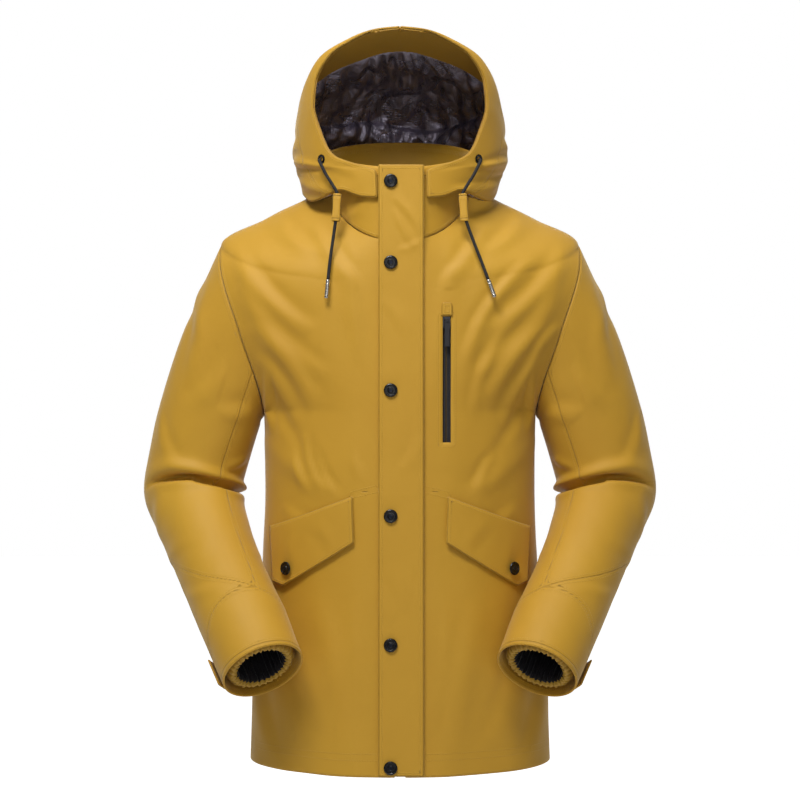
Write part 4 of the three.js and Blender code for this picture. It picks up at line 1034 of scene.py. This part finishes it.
soft = np.clip(rimAway / 34, 0, 1)
hoodRelief = soft * (1.6 * waves(hoodGrid, 110, 51) + 0.8 * waves(hoodGrid, 42, 52)
                     + foldHeight(alongGrid * 300, hoodGrid[..., 2], hoodFolds))
seamLift = 0.9 * np.exp(-((np.abs(alongGrid) * 300 - 60) / 5) ** 2) * (hoodRowGrid > 0.4)
hoodSurface = hoodGrid + hoodOut * (hoodRelief + seamLift)[..., None]
panelSeams = [hoodSurface[:, int(np.argmin(np.abs(alongs - s)))] for s in (-0.2, 0.2)]
# the facing is deeper under the brim than beside the face
brimShare = np.clip((hoodRowGrid - 0.5) / 0.42, 0, 1)
facingAway = rimAway / (1 + 0.75 * brimShare * brimShare * (3 - 2 * brimShare))


def isoLine(grid, field, level):
    # The line on a grid where a field takes one value, one point for each row on each side of the middle.
    rows, cols = field.shape
    right, left = [], []
    for r in range(rows):
        for part, out in ((range(0, cols // 2), right), (range(cols - 1, cols // 2, -1), left)):
            last = None
            for c in part:
                if field[r, c] >= level and last is not None:
                    t = (level - field[r, last]) / max(field[r, c] - field[r, last], 1e-6)
                    out.append(grid[r, last] + (grid[r, c] - grid[r, last]) * t)
                    break
                last = c
    return np.array(right + left[::-1])


brimLine = isoLine(hoodSurface, facingAway, brimDepth)
hoodShell = clothMesh("hoodShell", hoodSurface, 2.2, hoodCentre,
                      seams=[rimRight, rimLeft, brimLine, hoodSurface[0], *panelSeams])
finish(hoodShell, shellNylon, None, ["hood_base", "hood_crown"])


def pulledTo(grid, field, nearest, level, above):
    # Moves the points past a level of the field back onto it, so that a cut edge is smooth.
    share = level / np.maximum(field, 1e-6)
    moved = nearest + (grid - nearest) * share[..., None]
    return np.where(((field > level) if above else (field < level))[..., None], moved, grid)


def nearestOn(line, points):
    tree = searchTree(line)
    return np.array([tree.find(p)[0] for p in points.reshape(-1, 3)]).reshape(points.shape)


def overCells(f, pick):
    # The least or greatest of each cell's four corners.
    return pick(pick(f[:-1, :-1], f[1:, :-1]), pick(f[:-1, 1:], f[1:, 1:]))


rimNearest = nearestOn(spaced(rimLine, 1.0)[0], hoodGrid)
facingBase = pulledTo(hoodGrid, facingAway, rimNearest, brimDepth, True)
facingGrid = facingBase - hoodOut * (2.9 + 0.5 * np.clip(waves(hoodGrid, 40, 53), -1, 1))[..., None]
facing = clothMesh("hoodFacing", facingGrid, 1.6, hoodCentre,
                   keep=overCells(facingAway, np.minimum) < brimDepth - 1,
                   seams=[facingGrid[:, 0], facingGrid[:, -1]])
finish(facing, facingNylon, None, ())

liningEdge = brimDepth - 5
liningBase = pulledTo(hoodGrid, facingAway, rimNearest, liningEdge, False)
aroundHood = alongGrid * 300
# a padded roll lies just above the collar, and pleats run down from the brim seam
rollHeight = (hoodGrid[..., 2] - neckHeight - 78 + 6 * np.sin(alongGrid * 9)) / 17
roll = np.sqrt(np.clip(1 - rollHeight**2, 0, 1)) * (1 + 0.25 * waves(hoodGrid, 30, 64))
pleatRun = aroundHood / 34 * math.pi + 1.1 * np.sin(hoodGrid[..., 2] / 38) + 2.4 * waves(hoodGrid, 120, 63)
pleats = np.abs(np.sin(pleatRun)) ** 1.4
nearBrim = np.clip(1 - (facingAway - liningEdge) / 60, 0, 1)
edgeFade = np.clip((facingAway - liningEdge) / 7, 0, 1)
crumple = np.abs(waves(hoodGrid * [1, 1, 0.7], 52, 61)) * 2.2 + np.abs(waves(hoodGrid, 27, 62)) * 1.1
depth = 4.6 + edgeFade * (10.0 * roll + 6.5 * pleats * (0.3 + 0.7 * nearBrim) + 4.0 * crumple)
depth += 2.2 * waves(hoodGrid, 18, 65) * edgeFade * (0.4 + roll)
depth = np.maximum(depth, 4.6)
padding = clothMesh("hoodLining", liningBase - hoodOut * depth[..., None], 1.0, hoodCentre,
                    keep=overCells(facingAway, np.maximum) > liningEdge + 1, inner=liningBase - hoodOut * 3.6)
finish(padding, ripstop, None, ["hood_base_lining", "hood_crown_lining"])

foldPlace = hoodPoint(np.array([0.999]), np.array([0.36]))[0]
for piece in (hoodShell, facing, padding):
    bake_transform(piece)
say("collar and hood made")

# Sleeves.

splitShare = 0.62
turnStep = 2.5
turns = np.radians(np.arange(0, 360, turnStep))
upperShares = np.append(np.linspace(0, splitShare - 0.001, 46), splitShare)
turnGrid, shareGrid = np.meshgrid(turns, upperShares)
upperGrid = upperSleeve(turnGrid, shareGrid)
joinShares = np.insert(np.linspace(splitShare + 0.001, 1, 34), 0, splitShare)
tg, sg = np.meshgrid(turns, joinShares)
joinGrid = upperSleeve(tg, sg)
armShares = np.linspace(0, 1, 110)
tg, sg = np.meshgrid(turns, armShares)
armGrid = lowerSleeve(tg, sg)
lowerGrid = np.concatenate([joinGrid, armGrid[1:]])
elbowRow = len(joinShares) - 1
# how far each ring is past the elbow, in millimetres
centres = lowerGrid.mean(axis=1)
runDown = runAlong(centres)
pastElbow = (runDown - runDown[elbowRow])[:, None] + np.zeros(len(turns))
ringWay = lowerGrid - centres[:, None]
ringWay /= np.linalg.norm(ringWay, axis=-1, keepdims=True)
insideShare = ringWay @ insideWay
outerSide = np.clip(-insideShare + 0.25, 0, 1)
near = np.clip(1 - np.abs(pastElbow) / 62, 0, 1)
for k in range(60):
    smoothed = lowerGrid.copy()
    smoothed[1:-1] = (lowerGrid[:-2] + lowerGrid[2:]) / 2
    lowerGrid += (smoothed - lowerGrid) * (np.minimum(1, outerSide * near * 1.3))[..., None] * 0.5
allOut = gridNormals(lowerGrid, True)
lowerOut = allOut * np.sign((allOut * ringWay).sum())
inner = np.clip((insideShare + 0.5) / 1.1, 0, 1) ** 1.2
e = pastElbow + 5 * np.sin(turns * 2 + 0.5)[None, :]


def ridge(middle, width):
    return np.exp(-(((e - middle) / width) ** 2))


creases = inner * (7 * ridge(-11, 10) - 19 * ridge(1.5, 4.2) + 2.5 * ridge(13, 9))
# the fold gapes towards the inside of the arm
opened = np.exp(-(((np.degrees(turns)[None, :] - 325) / 32) ** 2))
creases -= 9 * opened * ridge(7, 6)
turnRun = np.degrees(turns)[None, :] + np.zeros_like(pastElbow)
armFolds = [
    (20, -14, 70, -80, 5, 8, 2.0), (330, -16, 290, -90, -5, 8, 2.4), (40, 14, 96, 80, 4, 12, 2.2),
    (120, 150, 200, 175, 4, 9, 1.8), (10, 190, 90, 165, 5, 9, 1.2), (320, 130, 20, 104, 3, 9, 1.2),
    (180, -30, 230, 10, 5, 10, 3.0), (200, 20, 260, 60, -5, 10, 3.0), (150, 220, 220, 240, 3, 8, 1.6),
]
sharedRing = 1.2 * waves(lowerGrid, 90, 71)
relief = creases + foldHeight(turnRun, pastElbow, armFolds) + sharedRing + 0.5 * waves(lowerGrid, 36, 72)
startFade = np.clip(runDown[:, None] / 18, 0, 1)
endFade = np.clip((runDown[-1] - runDown[:, None]) / 26, 0, 1)
relief = relief * startFade * endFade + sharedRing * (1 - startFade) * endFade
lowerSurface = lowerGrid + lowerOut * relief[..., None]

upperCentres = upperGrid.mean(axis=1)
upperAll = gridNormals(upperGrid, True)
upperRing = upperGrid - upperCentres[:, None]
upperOut = upperAll * np.sign((upperAll * upperRing).sum())
upperRun = runAlong(upperCentres)[:, None] + np.zeros(len(turns))
turnRun = np.degrees(turns)[None, :] + np.zeros_like(upperRun)
upperFolds = [
    (300, 10, 30, 60, 6, 11, 3.6), (310, 40, 350, 120, 5, 10, 2.6), (60, 20, 30, 120, 6, 14, 2.6),
    (120, 20, 150, 110, -6, 13, 2.6), (200, 10, 240, 70, 6, 11, 4.0), (180, 60, 220, 120, 5, 11, 3.4),
    (0, 50, 24, 140, 4, 10, 2.2),
]
sharedRing = 1.2 * waves(upperGrid, 90, 71)
relief = foldHeight(turnRun, upperRun, upperFolds) + sharedRing
relief *= np.clip(upperRun / 20, 0, 1)
lastFade = np.clip((upperRun[-1, 0] - upperRun) / 24, 0, 1)
relief = relief * lastFade + sharedRing * (1 - lastFade)
upperSurface = upperGrid + upperOut * relief[..., None]
upperSurface[-1] = lowerSurface[0]


def ringSeam(surface, row):
    return np.concatenate([surface[row], surface[row, :1]])


def armLine(points):
    # A seam on the forearm through points given as (turn in degrees, share of the way to the cuff).
    points = smoothLine(points, 14)
    rows = elbowRow + points[:, 1] * (len(lowerSurface) - 1 - elbowRow)
    cols = (points[:, 0] / turnStep) % len(turns)
    low, left = np.floor(rows).astype(int), np.floor(cols).astype(int) % len(turns)
    low = np.minimum(low, len(lowerSurface) - 2)
    a, b = (rows - low)[:, None], (cols - np.floor(cols))[:, None]
    right = (left + 1) % len(turns)
    upperEdge = lowerSurface[low, left] * (1 - b) + lowerSurface[low, right] * b
    lowerEdge = lowerSurface[low + 1, left] * (1 - b) + lowerSurface[low + 1, right] * b
    return upperEdge * (1 - a) + lowerEdge * a


forearmSeams = [
    armLine([(-38, 0.02), (-36, 0.3), (-33, 0.52), (-28, 0.67)]),
    armLine([(-105, 0.76), (-60, 0.72), (-28, 0.67), (30, 0.56), (95, 0.38), (150, 0.42)]),
    armLine([(-28, 0.67), (4, 0.68), (34, 0.72), (62, 0.79), (92, 0.88), (120, 0.9)]),
    ringSeam(lowerSurface, len(lowerSurface) - 3),
]


def alongSeam(surface, turn):
    return surface[:, int(round(math.degrees(turn) / turnStep)) % len(turns)]


for label, side in sides.items():
    flip = np.array([-side, 1, 1])
    cap = label.capitalize()
    seams = [ringSeam(upperSurface, 0) * flip, alongSeam(upperSurface, sleeve["frontSeam"]) * flip,
             alongSeam(upperSurface, math.radians(255)) * flip]
    upper = clothMesh("upperSleeve" + cap, upperSurface * flip, 2.2,
                      upperCentres[len(upperCentres) // 2] * flip,
                      wrap=True, seams=seams)
    finish(upper, shellNylon, None, ["upper_sleeve_" + label])
    linedInside(upper, lambda v: v >= upperSurface.shape[0] * len(turns), taffeta)
    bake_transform(upper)
    seams = [alongSeam(lowerSurface[: elbowRow + 1], sleeve["frontSeam"]) * flip,
             alongSeam(lowerSurface, math.radians(255)) * flip] + [line * flip for line in forearmSeams]
    lower = clothMesh("lowerSleeve" + cap, lowerSurface * flip, 2.4, lowerGrid.mean(axis=(0, 1)) * flip,
                      wrap=True, seams=seams)
    finish(lower, shellNylon, None, ["lower_sleeve_" + label])
    layer = lowerSurface.shape[0] * len(turns)
    linedInside(lower, lambda v: layer <= v < 2 * layer - 22 * len(turns), taffeta)
    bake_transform(lower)

    # The storm cuff runs from deep in the sleeve to a gathered roll just inside its rim.
    profile = [(60, 45), (44, 44.5), (30, 44), (20, 43.5), (12, 42), (6, 39.5), (3.5, 36), (5, 33), (9, 31),
               (15, 30.5), (24, 31), (40, 32), (58, 34)]
    profile = np.array(profile, float)
    t = np.linspace(0, len(profile) - 1, 60)
    depths = np.interp(t, np.arange(len(profile)), profile[:, 0])
    radii = np.interp(t, np.arange(len(profile)), profile[:, 1])
    for k in range(6):
        depths[1:-1] = (depths[:-2] + 2 * depths[1:-1] + depths[2:]) / 4
        radii[1:-1] = (radii[:-2] + 2 * radii[1:-1] + radii[2:]) / 4
    around = np.radians(np.arange(0, 360, 1.5))
    ag, dg = np.meshgrid(around, depths)
    rg = np.broadcast_to(radii[:, None], ag.shape)
    gather = 1.7 * np.sin(ag * 34 + 0.8 * np.sin(ag * 3)) + 0.9 * np.sin(ag * 57 + 1.3)
    amount = np.clip(1 - np.abs(t - 6.5)[:, None] / 5.5, 0, 1) ** 0.5
    rg = rg + gather * amount
    stormGrid = (cuffMiddle - lowerWay * dg[..., None]
                 + rg[..., None] * (lowerBefore * np.cos(ag)[..., None]
                                    + lowerOutside * np.sin(ag)[..., None]))
    ringMiddle = (cuffMiddle - lowerWay * dg[..., None]
                  + 36.0 * (lowerBefore * np.cos(ag)[..., None]
                            + lowerOutside * np.sin(ag)[..., None])) - lowerWay * (34 - dg[..., None])
    storm = clothMesh("stormCuff" + cap, stormGrid * flip, 1.2, ringMiddle * flip, wrap=True)
    finish(storm, cuffNylon, "lower_sleeve_" + label, ["storm_cuff_" + label])
    deep = 37 * len(around)
    linedInside(storm, lambda v: deep <= v < len(t) * len(around), taffeta)

    # The adjustment tab lies round the outside of the sleeve, with a rounded free end.
    tabTurns = np.radians(np.linspace(101, 186, 56))
    tabFrom, tabWide = 8.0, 34.0
    tg, wg = np.meshgrid(tabTurns, np.linspace(0, 1, 16))
    endRound = np.clip((tg - math.radians(172)) / math.radians(14), 0, 1)
    width = (wg - 0.5) * (1 - 0.55 * endRound**2) + 0.5
    shareTab = 1 - (tabFrom + tabWide * (1 - width)) / armLength
    base = lowerSleeve(tg, shareTab)
    away = base - (elbow + forearm * shareTab[..., None])
    away /= np.linalg.norm(away, axis=-1, keepdims=True)
    nearHinge = np.clip((math.radians(112) - tg) / math.radians(11), 0, 1)
    nearEnd = np.clip((tg - math.radians(165)) / math.radians(31), 0, 1)
    lift = 3.6 + 0.5 * np.sin(tg * 7) + 2.0 * nearHinge + 2.4 * nearEnd**1.5
    tabGrid = base + away * lift[..., None]
    edges = [tabGrid[0], tabGrid[-1], tabGrid[:, -1]]
    tab = clothMesh("cuffTab" + cap, tabGrid * flip, 2.2, cuffMiddle * flip,
                    seams=[line * flip for line in edges])
    finish(tab, shellNylon, "cuff_tab_" + label, ["cuff_tab_" + label])
say("sleeves, storm cuffs and tabs made")

# Storm flap.

flapLook = {"right": -26, "left": 29, "bottom": 2, "top": 754, "snapX": -11.5}
snapHeights = [12, 162, 320, 475, 633, 734]
right, left, bottom, top = [flapLook[k] for k in ("right", "left", "bottom", "top")]
xs = columnsOf([(right, right + 2, 3), (right + 2, left - 4, 26), (left - 4, left, 4)])
zs = columnsOf([(bottom, bottom + 2, 2), (bottom + 2, top - 2, 250), (top - 2, top, 2)])
xg, zg = np.meshgrid(xs, zs)
edgeWave = 0.5 * np.sin(zg / 23.0) + 0.35 * np.sin(zg / 11.0 + 1.0)
free = np.clip((5 - xg) / 30, 0, 1)
dents = sum(np.exp(-(((xg - flapLook["snapX"]) ** 2 + (zg - h) ** 2) / 160.0)) for h in snapHeights)
flapFolds = foldHeight(xg, zg, [(-8, 716, 26, 668, 4, 6, 1.5), (-6, 700, 20, 650, -3, 5, 1.0),
                                (28, 660, -4, 648, 2, 5, 0.9),
                                (-22, 590, 10, 540, 4, 9, 0.8), (26, 420, 0, 370, 4, 9,
                                                                 0.8), (-20, 260, 8, 210, 3, 9, 0.7)])
flapDepth = -4.2 - 0.5 * edgeWave * free + 0.5 * dents - flapFolds
flapGrid = frontPoint(xg, flapDepth, zg)
rootLean = np.clip((xg - 24.5) / 2.0, 0, 1)
flapBack = frontPoint(xg, np.maximum(-1.9 - 0.3 * edgeWave * free, flapDepth + 1.6) + 1.5 * rootLean, zg)
flapSeams = [flapGrid[:, 0], flapGrid[:, -1], flapGrid[0], flapGrid[-1]]
stormFlap = clothMesh("stormFlap", flapGrid, 2.2, (0, 200, 400), seams=flapSeams, inner=flapBack)
finish(stormFlap, shellNylon, "storm_flap", ["storm_flap"])

# Hip flaps.

for label, side in sides.items():
    share = hipFlap["cornerShare"]
    us, vs = np.linspace(0, 1, 56), np.linspace(0, 1, 34)
    ug, vg = np.meshgrid(us, vs)
    lower2 = np.stack([np.interp(ug, [0, share, 1],
                                 [hipFlap[k][i] for k in ("innerBottom", "corner", "outerBottom")])
                       for i in (0, 1)], axis=-1)
    upper2 = np.stack([np.interp(ug, [0, 1],
                                 [hipFlap[k][i] for k in ("innerTop", "outerTop")]) for i in (0, 1)], axis=-1)
    flat2 = lower2 + (upper2 - lower2) * vg[..., None]
    base = onBodyAt(side, flat2[..., 0], flat2[..., 1])
    out = outward(base, bodyCentre)
    snapX, snapZ = hipFlap["snap"]
    toSnap = (flat2[..., 0] - snapX) ** 2 + (flat2[..., 1] - snapZ) ** 2
    lift = 4.3 + 1.1 * (1 - vg) ** 2 + 0.6 * waves(base, 60, 81) - 1.2 * np.exp(-toSnap / 260)
    lift += foldHeight(ug * 95, vg * 60, [(20, 5, 45, 50, 3, 7, 0.9), (60, 4, 70, 44, -3, 6, 0.8)])
    lift = lift * (1 - 0.25 * np.clip((vg - 0.93) / 0.07, 0, 1))
    hipGrid = base + out * lift[..., None]
    edge = [hipGrid[0], hipGrid[-1], hipGrid[:, 0], hipGrid[:, -1]]
    flap = clothMesh("hipFlap" + label.capitalize(), hipGrid, 2.1, bodyCentre, seams=edge)
    finish(flap, shellNylon, "hip_flap_" + label, ["hip_flap_" + label])
say("flaps made")

# Snaps, modelled once and copied.

snapLook = {"height": 2.4, "centre": 2.3}
capProfile = [(7.7, 0.0), (8.5, 0.5), (8.5, 1.2), (8.0, 2.0), (7.1, 2.4), (6.2, 2.3), (5.6, 1.7),
              (3.6, 1.75), (3.2, 2.3),
              (2.3, 2.45), (2.1, 2.2), (1.2, 2.3), (0.4, 2.35)]
snapModel = turnedPiece("snapModel", capProfile, 56, 0.1)
snapModel.data.materials.append(snapLacquer)
snapModel.data.materials.append(snapCentre)
for polygon in snapModel.data.polygons:
    spot = polygon.center
    if math.hypot(spot.x, spot.y) < snapLook["centre"] * mm and spot.z > 1.0 * mm:
        polygon.material_index = 1


def addSnap(name, node, body, axis):
    low, high = (Vector(corner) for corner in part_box(node))
    piece = copied(snapModel, name)
    centre = (low + high) / 2
    face = Vector((centre.x, low.y, centre.z))
    placed(piece, face - Vector(axis) * snapLook["height"] * mm, axis)
    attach(piece, body)
    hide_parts(node)


flapFacing = -unit([0, math.cos(math.atan(frontLean)), -math.sin(math.atan(frontLean))])
for k in range(1, 7):
    addSnap(f"snapCap{k}", f"snap_cap_{k}", "storm_flap", flapFacing)
for label, side in sides.items():
    spots = onBodyAt(side, np.array([[140, 142], [140, 142]]), np.array([[251, 251], [253, 253]]))
    facing2 = outward(spots, bodyCentre)[0, 0]
    addSnap("hipFlapCap" + label.capitalize(), "hip_flap_cap_" + label, "hip_flap_" + label, facing2)
bpy.data.objects.remove(snapModel)

# Keepers, garage, hanger strap and zips.

for label, side in sides.items():
    ends = mirrored([cordRoute[5], cordRoute[7]], side)
    way = unit(ends[1] - ends[0])
    across = unit(np.cross(way, [0, -1, 0]))
    out = np.cross(across, way)
    ring = np.radians(np.arange(0, 360, 6))
    ag, tg = np.meshgrid(ring, np.linspace(0, 1, 26))
    square = lambda v: np.sign(v) * np.abs(v) ** 0.55
    wide = 5.0 + 0.25 * np.sin(tg * 9)
    grid = (ends[0] + way * (tg * 34)[..., None] + across * (square(np.cos(ag)) * wide)[..., None]
            + out * (square(np.sin(ag)) * 3.4)[..., None])
    middle = ends[0] + way * (tg * 34)[..., None]
    keeper = clothMesh("cordKeeper" + label.capitalize(), grid, 1.1, middle, wrap=True,
                       seams=[grid[2], grid[-3]])
    finish(keeper, shellNylon, "root", ["cord_keeper_" + label])

ug, vg = np.meshgrid(np.linspace(51.5, 64.5, 18), np.linspace(567.6, 583.5, 22))
narrow = 1 - 0.25 * np.clip((vg - 578) / 5.5, 0, 1) ** 2
garageBase = onBodyAt(1, 58 + (ug - 58) * narrow, vg)
garageGrid = garageBase + outward(garageBase, bodyCentre) * 2.2
garage = clothMesh("chestZipGarage", garageGrid, 1.4, bodyCentre,
                   seams=[garageGrid[0], garageGrid[-1], garageGrid[:, 0], garageGrid[:, -1]])
finish(garage, shellNylon, "root", ["chest_zip_garage"])

low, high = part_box("hanger_loop")
loopLow = (np.array(low) - [0, shoulderLine, hemHeight]) / mm
loopHigh = (np.array(high) - [0, shoulderLine, hemHeight]) / mm
bg, hg = np.meshgrid(np.linspace(-1, 1, 60), np.linspace(loopLow[2], loopHigh[2], 8))
bow = (1 - bg**2) ** 0.8
strap = np.stack([bg * loopHigh[0], loopHigh[1] - 0.4 - (loopHigh[1] - loopLow[1] - 1.6) * bow, hg], axis=-1)
hanger = clothMesh("hangerStrap", strap, 1.4, (0, 300, 755))
finish(hanger, webbing, "root", ["hanger_loop"])

# The remaining hard parts keep their CAD shape under a better finish.
cadFinish = {
    darkMetal: ["main_zip_slider", "main_zip_pull", "chest_zip_slider", "main_zip_stop"],
    nylonMoulded: ["chest_zip_pull"],
    snapLacquer: ["eyelet_right", "eyelet_left"] + [f"snap_stud_{k}" for k in range(1, 7)]
    + ["hip_flap_stud_right", "hip_flap_stud_left"],
    zipCoil: ["main_zip_tape_right", "main_zip_tape_left", "chest_zip_tape_right", "chest_zip_tape_left"],
}
for paint, nodes in cadFinish.items():
    for node in nodes:
        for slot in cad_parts[node].material_slots:
            slot.material = paint
say("snaps, keepers, straps and zips made")

bpy.context.view_layer.update()
